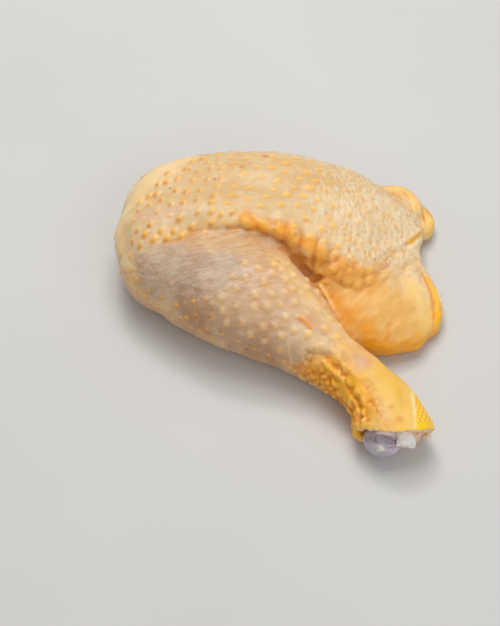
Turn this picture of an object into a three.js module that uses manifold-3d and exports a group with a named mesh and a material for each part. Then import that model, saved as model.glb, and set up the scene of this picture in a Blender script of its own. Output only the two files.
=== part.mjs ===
// A raw chicken leg, thigh and drumstick in one piece with the skin on, folded at the knee and lying on
// its inner side. Millimetres, +Z up; it rests on z = 0. The knee points to -X, the thigh runs to +X
// behind, and the drumstick runs forward to the cut hock (+X, -Y).
//
// The meat and skin are one closed surface around several soft forms: tubes with an oval section along
// smooth centre lines. Each form is a distance function, the functions are blended, and a grid with one
// vertex in each cell that the surface crosses turns the result into triangles. The shin bone and the
// cord of gristle that show at the cut hock are solids of their own, and the meat is cut round them.
import * as THREE from "three";
import Module from "manifold-3d";
import { SimplifyModifier } from "three/addons/modifiers/SimplifyModifier.js";
import { mergeVertices } from "three/addons/utils/BufferGeometryUtils.js";

const wasm = await Module();
wasm.setup();

// ---------------------------------------------------------------- driving sizes, in millimetres
const ORIGIN = [13.02, -3.33, 0]; // the point of the layout that becomes the origin of the part
const SAG = 1.22; // how much fuller a soft form is below its middle than above
const GAP = 0.3; // clearance between the meat and what it is cut round

// A station of a soft form: its centre, half its width across the run, and half its height.
const station = (x, y, z, wide, tall) => ({ at: new THREE.Vector3(x, y, z), wide, tall });

const THIGH = [
  station(-30, 40, 19, 25, 20),
  station(-10, 40.5, 20, 30, 23),
  station(15, 39.5, 19.5, 31, 23),
  station(38, 37, 16, 30.5, 19),
  station(58, 37, 10.5, 27, 13),
  station(70, 38, 7, 21, 8),
];
const DRUMSTICK = [
  station(-31, 16, 19, 24, 19.5),
  station(-20, 8.5, 20, 27, 21),
  station(-3, -4, 19.5, 26, 20.5),
  station(17, -20, 16, 18.5, 16.5),
  station(32, -33, 12.5, 12.6, 12.3),
  station(45, -45, 12, 11.5, 11.2),
  station(54, -59, 11, 14.8, 10.6),
  station(58, -78, 10.5, 17.5, 10.2),
];
const KNEE = { at: [-32.5, 29, 19], half: [24, 31, 20.3] };
const KNEE_BLEND = 14;

// Loose skin and fat between thigh and drumstick.
const WEB = [
  station(34, 6, 8, 22, 13),
  station(52, -1, 8, 25, 13),
  station(68, 0.5, 6, 24, 9),
];
const WEB_BLEND = 9;

// The fold of thigh skin that hangs over the drumstick. Past its middle it is gathered into ribs.
const FOLD = [
  station(-47, 26, 24, 7, 7),
  station(-37, 21, 31, 8, 7),
  station(-22, 21, 36.5, 10, 7.5),
  station(-4, 21, 37.5, 10, 7.5),
  station(12, 19, 35, 9.5, 7.5),
  station(26, 14, 29.5, 8.5, 7),
  station(40, 9, 22, 8, 7),
  station(54, 7, 14.5, 7, 6),
];
const FOLD_BLEND = 8;
const RIB = { pitch: 6.4, phase: 2.4, height: 2.6, middle: 0.6, lean: 0.2, from: 38, to: 52 };

// Skin edges at the hip end: a curled lobe behind, a small tag, and the rolled edge of the web.
const SKIN_EDGES = [
  [
    station(58, 62, 8.5, 3.8, 4),
    station(67.5, 62, 9.8, 3.9, 4),
    station(72.5, 58, 9.8, 3.9, 4),
    station(75, 53, 9, 3.8, 4),
    station(76, 46, 6, 3.4, 4),
  ],
  [station(79, 54.5, 5, 2.6, 3), station(81.5, 49, 4.6, 2.9, 3.6), station(80, 42, 4, 2.6, 3.4)],
  [
    station(73.5, 19, 4.5, 3, 4),
    station(77, 11, 5, 3, 4.6),
    station(79.6, 2, 5, 3, 4.6),
    station(79.8, -6, 4.8, 3, 4.4),
    station(77.5, -13, 4, 3, 4),
  ],
];
const EDGE_BLEND = 5;
const HIP_NOTCH = { at: [85, 27, 0], half: [9.5, 11, 22] }; // where the edge of the web draws in
const NOTCH_BLEND = 5;

// How softly the drumstick meets the thigh: widely over the knee, and in a crease from there on.
const JOIN = { wide: 16, crease: 3, fromX: -50, toX: -28 };

// The hock is cut across. The line of the cut in plan, at the floor, from the inner to the outer side.
const CUT_LINE = [[28, -60.5], [40, -64], [48, -67], [56, -68], [64, -67.5], [71, -65], [86, -59.5]];
const CUT_TILT = 0.28; // radians that the top of the cut leans out
const CUT_DEPTH = { low: -25, tall: 70, out: -70 }; // the space beyond the cut, larger than the leg
const SKIN = 1.8; // thickness of the skin that stands round the cut
const SKIN_STANDS = 2; // how far it stands out from the flesh

// The shin bone, from inside the knee to the hock. Its end has a large knob of cartilage, a smaller knob
// in front of that, and a dip between them.
const BONE = [
  station(-27, 15, 21, 5, 5),
  station(-24, 12.5, 21, 8, 7.5),
  station(-17, 7, 20.5, 7.5, 7),
  station(-6, -2, 19, 4.4, 4.2),
  station(14, -18, 15.5, 3.4, 3.3),
  station(34, -36, 12, 3.5, 3.4),
  station(45, -50, 9.6, 4.2, 3.9),
  station(50, -61, 9, 5.4, 4.6),
  station(51.5, -68, 8.8, 5.5, 4.6),
];
const KNOBS = [
  { at: [52.2, -70, 8.7], half: [7.9, 6.7, 6.8], turn: 0 },
  { at: [53.6, -74, 10.2], half: [4.9, 3.4, 3.6], turn: 0.45 },
];

// The cord of gristle beside the bone, from the shin to the cut.
const SINEW = [
  station(44, -42, 18, 1.6, 1.3),
  station(51, -52, 18, 2.4, 1.7),
  station(57, -62, 16, 3.4, 2.4),
  station(59.6, -69, 12, 4.6, 3.8),
  station(59.8, -74.2, 9.8, 4.8, 4.3),
];

// How many steps each soft tube is worked out in, and how many sides the solid tubes have.
const STEPS = { thigh: 30, drumstick: 36, web: 14, fold: 36, edge: 12, bone: 18, sinew: 10 };
const SIDES = { bone: 12, sinew: 14, socket: 24 };
const ANKLE_FRAMES = 5; // how many frames of the drumstick are taken for the socket at the cut
const MERGE = 1e-4; // points nearer than this are one

// ---------------------------------------------------------------- soft forms
const { clamp, lerp: mix, smoothstep } = THREE.MathUtils;

// Distance to an oval form from an offset (u, v, w), given its half sizes (a, b, c).
function ovalDistance(u, v, w, a, b, c) {
  const near = Math.hypot(u / a, v / b, w / c);
  const slope = Math.hypot(u / a ** 2, v / b ** 2, w / c ** 2);
  return slope < 1e-9 ? -Math.min(a, b, c) : (near * (near - 1)) / slope;
}

const ovalAt = ({ at, half }, x, y, z, sag = 1) =>
  ovalDistance(x - at[0], y - at[1], z - at[2], half[0], half[1], half[2] * (z < at[2] ? sag : 1));

// A tube with an oval section along a smooth line through its stations.
class SoftTube {
  constructor(stations, samples, sag = 1) {
    const line = new THREE.CatmullRomCurve3(stations.map((s) => s.at));
    const size = new THREE.CatmullRomCurve3(stations.map((s) => new THREE.Vector3(s.wide, s.tall, 0)));
    this.length = line.getLength();
    this.sag = sag;
    this.frames = Array.from({ length: samples + 1 }, (_, i) => {
      const run = line.getTangent(i / samples);
      const side = new THREE.Vector3(run.y, -run.x, 0).normalize();
      return {
        at: line.getPoint(i / samples),
        run,
        side,
        up: new THREE.Vector3().crossVectors(side, run),
        size: size.getPoint(i / samples),
      };
    });
    const spacing = this.length / samples;
    this.softness = 2 * (1.3 * spacing) ** 2;
  }

  // Where a point lies by the tube: the sample that it is beside, as a number that changes smoothly.
  beside(x, y, z) {
    const { frames, softness } = this;
    const squares = frames.map(({ at }) => (x - at.x) ** 2 + (y - at.y) ** 2 + (z - at.z) ** 2);
    const least = Math.min(...squares);
    let total = 0;
    let sum = 0;
    squares.forEach((square, i) => {
      const weight = Math.exp((least - square) / softness);
      total += weight;
      sum += weight * i;
    });
    return sum / total;
  }

  // Offsets from the centre line across, along and up, and the size of the section there.
  offset(x, y, z) {
    const place = this.beside(x, y, z);
    const index = Math.min(Math.floor(place), this.frames.length - 2);
    const share = place - index;
    const [a, b] = [this.frames[index], this.frames[index + 1]];
    const away = ["x", "y", "z"].map((axis, n) => [x, y, z][n] - mix(a.at[axis], b.at[axis], share));
    const dot = (key) =>
      away[0] * mix(a[key].x, b[key].x, share) +
      away[1] * mix(a[key].y, b[key].y, share) +
      away[2] * mix(a[key].z, b[key].z, share);
    return {
      across: dot("side"),
      along: dot("run"),
      up: dot("up"),
      wide: mix(a.size.x, b.size.x, share),
      tall: mix(a.size.y, b.size.y, share),
      run: (place / (this.frames.length - 1)) * this.length,
    };
  }

  distance(x, y, z) {
    const { across, along, up, wide, tall } = this.offset(x, y, z);
    return ovalDistance(across, along, up, wide, Math.min(wide, tall), tall * (up < 0 ? this.sag : 1));
  }
}

// The fold, with rounded ribs and narrow valleys between them.
class RibbedFold extends SoftTube {
  distance(x, y, z) {
    const { across, along, up, wide, tall, run } = this.offset(x, y, z);
    const d = ovalDistance(across, along, up, wide, Math.min(wide, tall), tall);
    const turns = (run + RIB.lean * across - RIB.phase) / RIB.pitch;
    const swell = Math.abs(Math.sin(Math.PI * turns)) - RIB.middle;
    return d - RIB.height * swell * smoothstep(across, -wide / 2, wide) * smoothstep(run, RIB.from, RIB.to);
  }
}

// Smooth union of two distances; a small radius leaves a crease.
function blend(a, b, radius) {
  const h = Math.max(radius - Math.abs(a - b), 0) / radius;
  return Math.min(a, b) - (h * h * radius) / 4;
}

const thigh = new SoftTube(THIGH, STEPS.thigh, SAG);
const drumstick = new SoftTube(DRUMSTICK, STEPS.drumstick, SAG);
const web = new SoftTube(WEB, STEPS.web, SAG);
const fold = new RibbedFold(FOLD, STEPS.fold);
const skinEdges = SKIN_EDGES.map((stations) => new SoftTube(stations, STEPS.edge));

function thighSide(x, y, z) {
  let d = blend(thigh.distance(x, y, z), ovalAt(KNEE, x, y, z, SAG), KNEE_BLEND);
  d = blend(d, web.distance(x, y, z), WEB_BLEND);
  d = blend(d, fold.distance(x, y, z), FOLD_BLEND);
  for (const edge of skinEdges) d = blend(d, edge.distance(x, y, z), EDGE_BLEND);
  return -blend(-d, ovalAt(HIP_NOTCH, x, y, z), NOTCH_BLEND);
}

function legDistance(x, y, z) {
  const radius = mix(JOIN.wide, JOIN.crease, smoothstep(x, JOIN.fromX, JOIN.toX));
  return blend(thighSide(x, y, z), drumstick.distance(x, y, z), radius);
}

// ---------------------------------------------------------------- a surface from a distance
const CELL = 2.4; // side of a grid cell
const KEPT_SHARE = 0.52; // share of the triangles that is kept where the surface is nearly flat
const EVEN_ROUNDS = 4;
const EVEN_SHARE = 0.5; // how far a point moves towards the middle of its neighbours
const REACH = 0.5; // half the span over which a slope is taken
const LEAST_SLOPE = 0.4;
const FIELD = { low: [-62, -92, -12], high: [88, 74, 52] }; // the space that the grid fills
const CORNERS = [0, 1, 2, 3, 4, 5, 6, 7].map((c) => [c & 1, (c >> 1) & 1, c >> 2]); // of a cell

// One vertex for each cell that the surface crosses, and one quad for each grid edge that crosses it.
function surfaceOf(distance, low, high) {
  const [nx, ny, nz] = low.map((l, n) => Math.ceil((high[n] - l) / CELL) + 1);
  const index = (i, j, k) => (k * ny + j) * nx + i;
  const place = (...cell) => cell.map((c, n) => low[n] + c * CELL);
  const values = new Float32Array(nx * ny * nz);
  for (let k = 0; k < nz; k++)
    for (let j = 0; j < ny; j++)
      for (let i = 0; i < nx; i++) values[index(i, j, k)] = distance(...place(i, j, k));

  const edges = [];
  for (let a = 0; a < 8; a++) for (const bit of [1, 2, 4]) if (!(a & bit)) edges.push([a, a | bit]);

  const vertexOf = new Map();
  const positions = [];
  for (let k = 0; k < nz - 1; k++)
    for (let j = 0; j < ny - 1; j++)
      for (let i = 0; i < nx - 1; i++) {
        const sum = [0, 0, 0];
        let hits = 0;
        for (const [a, b] of edges) {
          const va = values[index(i + CORNERS[a][0], j + CORNERS[a][1], k + CORNERS[a][2])];
          const vb = values[index(i + CORNERS[b][0], j + CORNERS[b][1], k + CORNERS[b][2])];
          if (va < 0 === vb < 0) continue;
          for (let n = 0; n < 3; n++) sum[n] += mix(CORNERS[a][n], CORNERS[b][n], va / (va - vb));
          hits++;
        }
        if (!hits) continue;
        vertexOf.set(index(i, j, k), positions.length / 3);
        positions.push(...place(i + sum[0] / hits, j + sum[1] / hits, k + sum[2] / hits));
      }

  const faces = [];
  const steps = [index(1, 0, 0), index(0, 1, 0), index(0, 0, 1)];
  for (let k = 1; k < nz - 1; k++)
    for (let j = 1; j < ny - 1; j++)
      for (let i = 1; i < nx - 1; i++)
        for (let axis = 0; axis < 3; axis++) {
          const here = index(i, j, k);
          const inside = values[here] < 0;
          if (inside === values[here + steps[axis]] < 0) continue;
          const u = steps[(axis + 1) % 3];
          const v = steps[(axis + 2) % 3];
          const quad = [here - u - v, here - v, here, here - u].map((cell) => vertexOf.get(cell));
          if (!inside) quad.reverse();
          faces.push(quad[0], quad[1], quad[2], quad[0], quad[2], quad[3]);
        }
  evenOut(distance, positions, faces);
  const geometry = new THREE.BufferGeometry();
  geometry.setAttribute("position", new THREE.Float32BufferAttribute(positions, 3));
  geometry.setIndex(faces);
  return geometry;
}

// Spreads the points evenly: each moves towards the middle of its neighbours, then back to the surface.
function evenOut(distance, positions, faces) {
  const count = positions.length / 3;
  const neighbours = Array.from({ length: count }, () => new Set());
  for (let f = 0; f < faces.length; f += 3)
    for (const [a, b] of [[0, 1], [1, 2], [2, 0]]) {
      neighbours[faces[f + a]].add(faces[f + b]);
      neighbours[faces[f + b]].add(faces[f + a]);
    }
  for (let round = 0; round < EVEN_ROUNDS; round++) {
    const before = positions.slice();
    for (let v = 0; v < count; v++) {
      const middle = [0, 0, 0];
      const share = 1 / neighbours[v].size;
      for (const other of neighbours[v]) {
        for (let n = 0; n < 3; n++) middle[n] += before[3 * other + n] * share;
      }
      const moved = middle.map((m, n) => mix(before[3 * v + n], m, EVEN_SHARE));
      toSurface(distance, moved).forEach((value, n) => (positions[3 * v + n] = value));
    }
  }
}

// One step down the slope of the distance.
function toSurface(distance, at) {
  const value = distance(...at);
  const slope = at.map((_, n) => {
    const [ahead, behind] = [REACH, -REACH].map((r) => distance(...at.map((v, m) => v + (m === n ? r : 0))));
    return (ahead - behind) / (2 * REACH);
  });
  const square = Math.max(slope.reduce((s, v) => s + v * v, 0), LEAST_SLOPE);
  return at.map((v, n) => v - (value * slope[n]) / square);
}

// ---------------------------------------------------------------- solids
const UNDER = { wide: 400, deep: 100 }; // what lies below the resting face is cut off
const KNOB_SIDES = [16, 12];

function solidOf(geometry, merge = true) {
  const bare = geometry.clone();
  bare.deleteAttribute("normal");
  bare.deleteAttribute("uv");
  const closed = merge ? mergeVertices(bare, MERGE) : bare;
  return new wasm.Manifold(
    new wasm.Mesh({
      numProp: 3,
      vertProperties: new Float32Array(closed.attributes.position.array),
      triVerts: new Uint32Array(closed.index.array),
    }),
  );
}

function geometryOf(solid) {
  const { numProp, numVert, vertProperties, triVerts } = solid.getMesh();
  const positions = new Float32Array(numVert * 3);
  for (let i = 0; i < numVert; i++) {
    positions.set(vertProperties.subarray(i * numProp, i * numProp + 3), i * 3);
  }
  const geometry = new THREE.BufferGeometry();
  geometry.setAttribute("position", new THREE.BufferAttribute(positions, 3));
  geometry.setIndex(new THREE.BufferAttribute(triVerts, 1));
  geometry.computeVertexNormals();
  return geometry;
}

// A closed solid with oval rings square to the line of a tube, each made larger by grow.
function loftOf(tube, sides, grow = 0) {
  const positions = [];
  const rings = tube.frames.map(({ at, side, up, size }) => {
    const first = positions.length / 3;
    for (let s = 0; s < sides; s++) {
      const angle = (2 * Math.PI * s) / sides;
      const point = at.clone();
      point.addScaledVector(side, (size.x + grow) * Math.cos(angle));
      point.addScaledVector(up, (size.y + grow) * Math.sin(angle));
      positions.push(...point);
    }
    return first;
  });
  const faces = [];
  for (let r = 0; r < rings.length - 1; r++)
    for (let s = 0; s < sides; s++) {
      const [a, b] = [rings[r] + s, rings[r] + ((s + 1) % sides)];
      const [c, d] = [rings[r + 1] + s, rings[r + 1] + ((s + 1) % sides)];
      faces.push(a, d, b, a, c, d);
    }
  const ends = [tube.frames[0], tube.frames.at(-1)];
  ends.forEach(({ at, run }, end) => {
    const centre = positions.length / 3;
    positions.push(...at.clone().addScaledVector(run, (end ? 1 : -1) * grow));
    const first = rings[end ? rings.length - 1 : 0];
    for (let s = 0; s < sides; s++) {
      const pair = [first + s, first + ((s + 1) % sides)];
      if (end) pair.reverse();
      faces.push(centre, ...pair);
    }
  });
  const geometry = new THREE.BufferGeometry();
  geometry.setAttribute("position", new THREE.Float32BufferAttribute(positions, 3));
  geometry.setIndex(faces);
  return solidOf(geometry, false);
}

function knobOf({ at, half, turn }, grow = 0) {
  const geometry = new THREE.SphereGeometry(1, ...KNOB_SIDES);
  geometry.scale(half[0] + grow, half[1] + grow, half[2] + grow);
  geometry.rotateY(turn);
  geometry.translate(...at);
  return solidOf(geometry);
}

// Everything in front of the line of the cut, moved along Y by a shift.
function beyondCut(shift) {
  const { low, tall, out } = CUT_DEPTH;
  const furthest = Math.min(...CUT_LINE.map(([, y]) => y));
  const line = CUT_LINE.map(([x, y]) => new THREE.Vector2(x, y - furthest));
  const shape = new THREE.Shape();
  shape.moveTo(line[0].x, out);
  shape.lineTo(line[0].x, line[0].y);
  shape.splineThru(line.slice(1));
  shape.lineTo(line.at(-1).x, out);
  shape.closePath();
  const geometry = new THREE.ExtrudeGeometry(shape, { depth: tall, bevelEnabled: false, curveSegments: 4 });
  geometry.translate(0, 0, low);
  geometry.rotateX(CUT_TILT);
  geometry.translate(0, furthest + shift, 0);
  return solidOf(geometry);
}

const fine = surfaceOf(legDistance, FIELD.low, FIELD.high);
const removed = fine.attributes.position.count * (1 - KEPT_SHARE);
const skin = await new SimplifyModifier().modify(fine, Math.floor(removed));
const underneath = new THREE.BoxGeometry(UNDER.wide, UNDER.wide, UNDER.deep);
underneath.translate(0, 0, -UNDER.deep / 2);
const meat = solidOf(skin, false).subtract(solidOf(underneath)).subtract(beyondCut(0));

const shin = new SoftTube(BONE, STEPS.bone);
const sinew = new SoftTube(SINEW, STEPS.sinew);
function boneWith(grow) {
  const shaft = loftOf(shin, SIDES.bone, grow);
  return KNOBS.reduce((solid, knob) => solid.add(knobOf(knob, grow)), shaft);
}
const ankle = { frames: drumstick.frames.slice(-ANKLE_FRAMES) };
const socket = loftOf(ankle, SIDES.socket, -SKIN).intersect(beyondCut(SKIN_STANDS));
const tendon = loftOf(sinew, SIDES.sinew).subtract(boneWith(GAP));
const leg = meat.subtract(socket).subtract(boneWith(GAP)).subtract(loftOf(sinew, SIDES.sinew, GAP));

const group = new THREE.Group();
function show(name, solid, finish) {
  const mesh = new THREE.Mesh(geometryOf(solid), new THREE.MeshStandardMaterial({ metalness: 0, ...finish }));
  mesh.name = name;
  mesh.geometry.translate(...ORIGIN.map((v) => -v));
  group.add(mesh);
}
show("leg", leg, { color: 0xe0b070, roughness: 0.38 });
show("shin_bone", boneWith(0), { color: 0xd9d0dc, roughness: 0.3 });
show("tendon", tendon, { color: 0xeee2cf, roughness: 0.35 });
export default group;
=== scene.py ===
"""A raw chicken leg, thigh and drumstick in one piece, folded at the knee and lying on its side.

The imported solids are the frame. Over them this script makes the skin with its follicles, folds and
colours, the shin bone's cartilage end and the stub of tendon, then the floor, the light and the camera.
Sizes are millimetres in the layout that the leg is drawn in; LAYOUT_ORIGIN is the frame's origin there.
Places marked PX are read off the photograph's frame, 500 by 626, and are found on the skin by a sight
line from the camera.
"""
import logging
import math
from dataclasses import dataclass, field
from enum import Enum

import bmesh
import bpy
import numpy as np
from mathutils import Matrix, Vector, noise
from mathutils.bvhtree import BVHTree
from mathutils.kdtree import KDTree


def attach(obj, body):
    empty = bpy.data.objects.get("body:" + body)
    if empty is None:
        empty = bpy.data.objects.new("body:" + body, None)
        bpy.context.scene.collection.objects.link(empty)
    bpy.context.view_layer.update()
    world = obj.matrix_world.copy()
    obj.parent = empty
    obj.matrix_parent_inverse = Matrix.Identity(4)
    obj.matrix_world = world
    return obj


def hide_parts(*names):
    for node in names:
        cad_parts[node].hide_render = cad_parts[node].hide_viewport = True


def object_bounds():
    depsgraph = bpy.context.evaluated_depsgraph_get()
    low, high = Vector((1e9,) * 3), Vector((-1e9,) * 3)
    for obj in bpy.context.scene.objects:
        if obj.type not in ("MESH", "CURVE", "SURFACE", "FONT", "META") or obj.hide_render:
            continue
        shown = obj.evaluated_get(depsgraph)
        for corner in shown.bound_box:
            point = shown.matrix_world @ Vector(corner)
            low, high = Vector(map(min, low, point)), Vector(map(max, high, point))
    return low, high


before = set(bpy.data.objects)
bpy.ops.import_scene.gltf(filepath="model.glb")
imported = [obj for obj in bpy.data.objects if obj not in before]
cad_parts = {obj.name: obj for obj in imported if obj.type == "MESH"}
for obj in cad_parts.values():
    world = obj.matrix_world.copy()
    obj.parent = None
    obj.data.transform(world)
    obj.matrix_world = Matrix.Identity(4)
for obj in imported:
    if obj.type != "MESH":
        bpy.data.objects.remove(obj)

CAD_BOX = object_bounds()
MM = 0.001
LAYOUT_ORIGIN = np.array((13.02, -3.33, 0.0))
PICTURE_SIZE = (500, 626)
UP = np.array((0.0, 0.0, 1.0))
LEAN = np.array((-0.55, -0.8, -0.3))  # how the follicles near the knee and the fold lean
DOWNHILL = np.array((0.1, -1.0, -0.6))  # the side of a follicle that is in shade
NOISE_GAIN = 1.6  # brings the noise, which stays within about 0.6, to about 1
ROW_STEP = math.sqrt(0.75)  # how far apart staggered rows lie, for a pitch of 1

log = logging.getLogger("chicken_leg")

PxLine = tuple[tuple[float, float], ...]


# ---------------------------------------------------------------- small helpers


def tone(red: int, green: int, blue: int) -> tuple[float, float, float, float]:
    """A shade given in display values from 0 to 255, as a linear colour.

    Args:
        red: display red.
        green: display green.
        blue: display blue.

    Returns:
        The linear red, green, blue and an alpha of 1.
    """
    parts = []
    for value in (red, green, blue):
        share = value / 255.0
        parts.append(share / 12.92 if share <= 0.04045 else ((share + 0.055) / 1.055) ** 2.4)
    return (parts[0], parts[1], parts[2], 1.0)


def fade(value: np.ndarray, full: float, none: float) -> np.ndarray:
    """A smooth weight that is 1 at full and 0 at none.

    Args:
        value: what the weight depends on.
        full: where the weight reaches 1.
        none: where the weight reaches 0.

    Returns:
        The weights, from 0 to 1.
    """
    share = np.clip((value - none) / (full - none), 0.0, 1.0)
    return share * share * (3.0 - 2.0 * share)


def to_layout(point: Vector) -> np.ndarray:
    """A point of the frame, in metres, as layout millimetres."""
    return np.array(point) / MM + LAYOUT_ORIGIN


def to_frame(point: np.ndarray) -> Vector:
    """A point of the layout, in millimetres, as frame metres."""
    return Vector((point - LAYOUT_ORIGIN) * MM)


def soft_noise(places: np.ndarray) -> np.ndarray:
    """A soft noise at each place, from about -1 to 1; its swells are about 1 wide."""
    return np.fromiter((noise.noise(Vector(place)) for place in places), float, len(places)) * NOISE_GAIN


def rows_of_rounds(along: np.ndarray, turn: np.ndarray, pitch: float) -> np.ndarray:
    """The height of round scales in staggered rows, from -0.5 to 1."""
    wave = 2 * math.pi / (pitch * ROW_STEP)
    skew = turn * ROW_STEP
    runs = (along, along * 0.5 + skew, along * 0.5 - skew)
    return sum(np.cos(wave * run) for run in runs) / 3.0


def line_distance(points: np.ndarray, line: np.ndarray) -> tuple[np.ndarray, np.ndarray]:
    """How far points lie from a line of straight stretches.

    Args:
        points: the points, one a row.
        line: the line's own points, one a row.

    Returns:
        The distance of each point, and how far along the line its nearest place is, from 0 to 1.
    """
    if len(line) == 1:
        return np.linalg.norm(points - line[0], axis=1), np.zeros(len(points))
    best = np.full(len(points), 1e9)
    along = np.zeros(len(points))
    lengths = np.linalg.norm(np.diff(line, axis=0), axis=1)
    total = max(lengths.sum(), 1e-9)
    done = 0.0
    for start, end, length in zip(line[:-1], line[1:], lengths):
        run = end - start
        share = np.clip((points - start) @ run / max(length * length, 1e-9), 0.0, 1.0)
        gap = np.linalg.norm(points - start - share[:, None] * run, axis=1)
        nearer = gap < best
        best[nearer] = gap[nearer]
        along[nearer] = (done + share[nearer] * length) / total
        done += length
    return best, along


# ---------------------------------------------------------------- camera, light and floor


@dataclass(frozen=True)
class Lamp:
    """A square soft light: where it hangs and its side in metres, its power in watts, its linear colour."""

    name: str
    at: tuple[float, float, float]
    side: float
    power: float
    colour: tuple[float, float, float]


@dataclass(frozen=True)
class Studio:
    """The camera at the photograph's angle, the soft lights and the pale floor."""

    distance: float = 0.520
    elevation: float = math.radians(52.0)
    picture_focus: float = 1196.0  # focal length in picture pixels
    sensor: float = 36.0
    floor_size: float = 3.0
    floor_shades: tuple[tuple[float, float, float, float], ...] = (
        (0.60, 0.585, 0.56, 1.0), (0.66, 0.645, 0.62, 1.0),
    )
    room_colour: tuple[float, float, float, float] = (0.93, 0.96, 1.0, 1.0)
    room_strength: float = 0.42
    lamps: tuple[Lamp, ...] = (
        Lamp("window_light", (-0.02, 0.34, 0.92), 0.60, 5.0, (1.0, 0.99, 0.97)),
        Lamp("small_light", (-0.10, 0.44, 0.70), 0.14, 0.9, (1.0, 1.0, 1.0)),
        Lamp("front_fill", (0.46, -0.62, 0.56), 0.80, 2.2, (0.98, 0.99, 1.0)),
    )

    def ahead(self) -> np.ndarray:
        """The direction the camera looks in."""
        return np.array((0.0, math.cos(self.elevation), -math.sin(self.elevation)))

    def above(self) -> np.ndarray:
        """The direction that is up in the picture."""
        return np.array((0.0, math.sin(self.elevation), math.cos(self.elevation)))

    def aim(self) -> np.ndarray:
        """The spot under the middle of the picture, in frame metres."""
        return -LAYOUT_ORIGIN * MM

    def eye(self) -> np.ndarray:
        """Where the camera stands, in frame metres."""
        return self.aim() - self.distance * self.ahead()

    def sight(self, across: float, down: float) -> np.ndarray:
        """The direction from the camera through a place in the picture.

        Args:
            across: pixels from the picture's left side.
            down: pixels from the picture's top.

        Returns:
            A direction of length 1.
        """
        right = (across - PICTURE_SIZE[0] / 2) / self.picture_focus
        rise = (PICTURE_SIZE[1] / 2 - down) / self.picture_focus
        run = self.ahead() + right * np.array((1.0, 0.0, 0.0)) + rise * self.above()
        return run / np.linalg.norm(run)

    def places(self, points: np.ndarray) -> tuple[np.ndarray, np.ndarray]:
        """Where points show in the picture.

        Args:
            points: places in layout millimetres.

        Returns:
            How far each lies from the picture's left side and from its top, in pixels.
        """
        offset = (points - LAYOUT_ORIGIN) * MM - self.eye()
        scale = self.picture_focus / (offset @ self.ahead())
        rise = (offset @ self.above()) * scale
        return PICTURE_SIZE[0] / 2 + offset[:, 0] * scale, PICTURE_SIZE[1] / 2 - rise

    def place_camera(self) -> None:
        """Creates the camera and makes it the scene's own."""
        data = bpy.data.cameras.new("camera")
        data.lens = self.picture_focus * self.sensor / max(PICTURE_SIZE)
        data.sensor_width = self.sensor
        data.clip_start = 0.01
        camera = bpy.data.objects.new("camera", data)
        camera.location = Vector(self.eye())
        camera.rotation_euler = (math.pi / 2 - self.elevation, 0.0, 0.0)
        bpy.context.scene.collection.objects.link(camera)
        bpy.context.scene.camera = camera

    def place_lamp(self, lamp: Lamp) -> None:
        """Adds one soft light that faces the leg."""
        data = bpy.data.lights.new(lamp.name, "AREA")
        data.size = lamp.side
        data.energy = lamp.power
        data.color = lamp.colour
        placed = bpy.data.objects.new(lamp.name, data)
        placed.location = lamp.at
        placed.rotation_euler = (-Vector(lamp.at)).to_track_quat("-Z", "Y").to_euler()
        bpy.context.scene.collection.objects.link(placed)

    def build(self) -> None:
        """Sets up the camera, the lights, the room's own light and the floor."""
        self.place_camera()
        for lamp in self.lamps:
            self.place_lamp(lamp)
        world = bpy.data.worlds.new("room")
        world.use_nodes = True
        background = world.node_tree.nodes["Background"]
        background.inputs["Color"].default_value = self.room_colour
        background.inputs["Strength"].default_value = self.room_strength
        bpy.context.scene.world = world
        bpy.context.scene.view_settings.view_transform = "Standard"
        self.build_floor()
        log.info("studio ready")

    def build_floor(self) -> None:
        """Makes the plain pale floor that the leg lies on."""
        made = bmesh.new()
        bmesh.ops.create_grid(made, x_segments=2, y_segments=2, size=self.floor_size / 2)
        mesh = bpy.data.meshes.new("floor")
        made.to_mesh(mesh)
        made.free()
        floor = bpy.data.objects.new("floor", mesh)
        bpy.context.scene.collection.objects.link(floor)
        shader = Shader.begin("pale_floor")
        cloud = shader.noise(scale=9.0, detail=3.0)
        shade = shader.blend(cloud, *self.floor_shades)
        shader.finish({"Base Color": shade, "Roughness": 0.7})
        mesh.materials.append(shader.material)


@dataclass(frozen=True)
class Sights:
    """Finds on a surface what shows at a place in the picture."""

    studio: Studio
    tree: BVHTree
    near_step: float = 0.004  # steps along a sight line that misses, in metres
    near_steps: int = 14

    def spot(self, place: tuple[float, float]) -> np.ndarray:
        """The spot of the surface at a place in the picture, in layout millimetres."""
        eye = Vector(self.studio.eye())
        run = Vector(self.studio.sight(*place))
        hit = self.tree.ray_cast(eye, run)[0]
        if hit is not None:
            return to_layout(hit)
        floor = -eye.z / run.z
        tries = [eye + run * (floor - step * self.near_step) for step in range(self.near_steps)]
        beside = [self.tree.find_nearest(at) for at in tries]
        return to_layout(min(beside, key=lambda found: found[3])[0])

    def line(self, line: PxLine) -> np.ndarray:
        """A line of the picture laid on the surface, with points close together."""
        dense: list[tuple[float, float]] = []
        for start, end in zip(line[:-1], line[1:]):
            count = max(1, round(math.dist(start, end) / 5.0))
            for step in range(count):
                share = step / count
                dense.append((start[0] + (end[0] - start[0]) * share, start[1] + (end[1] - start[1]) * share))
        dense.append(line[-1])
        return np.array([self.spot(place) for place in dense])


# ---------------------------------------------------------------- shader maths


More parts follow.
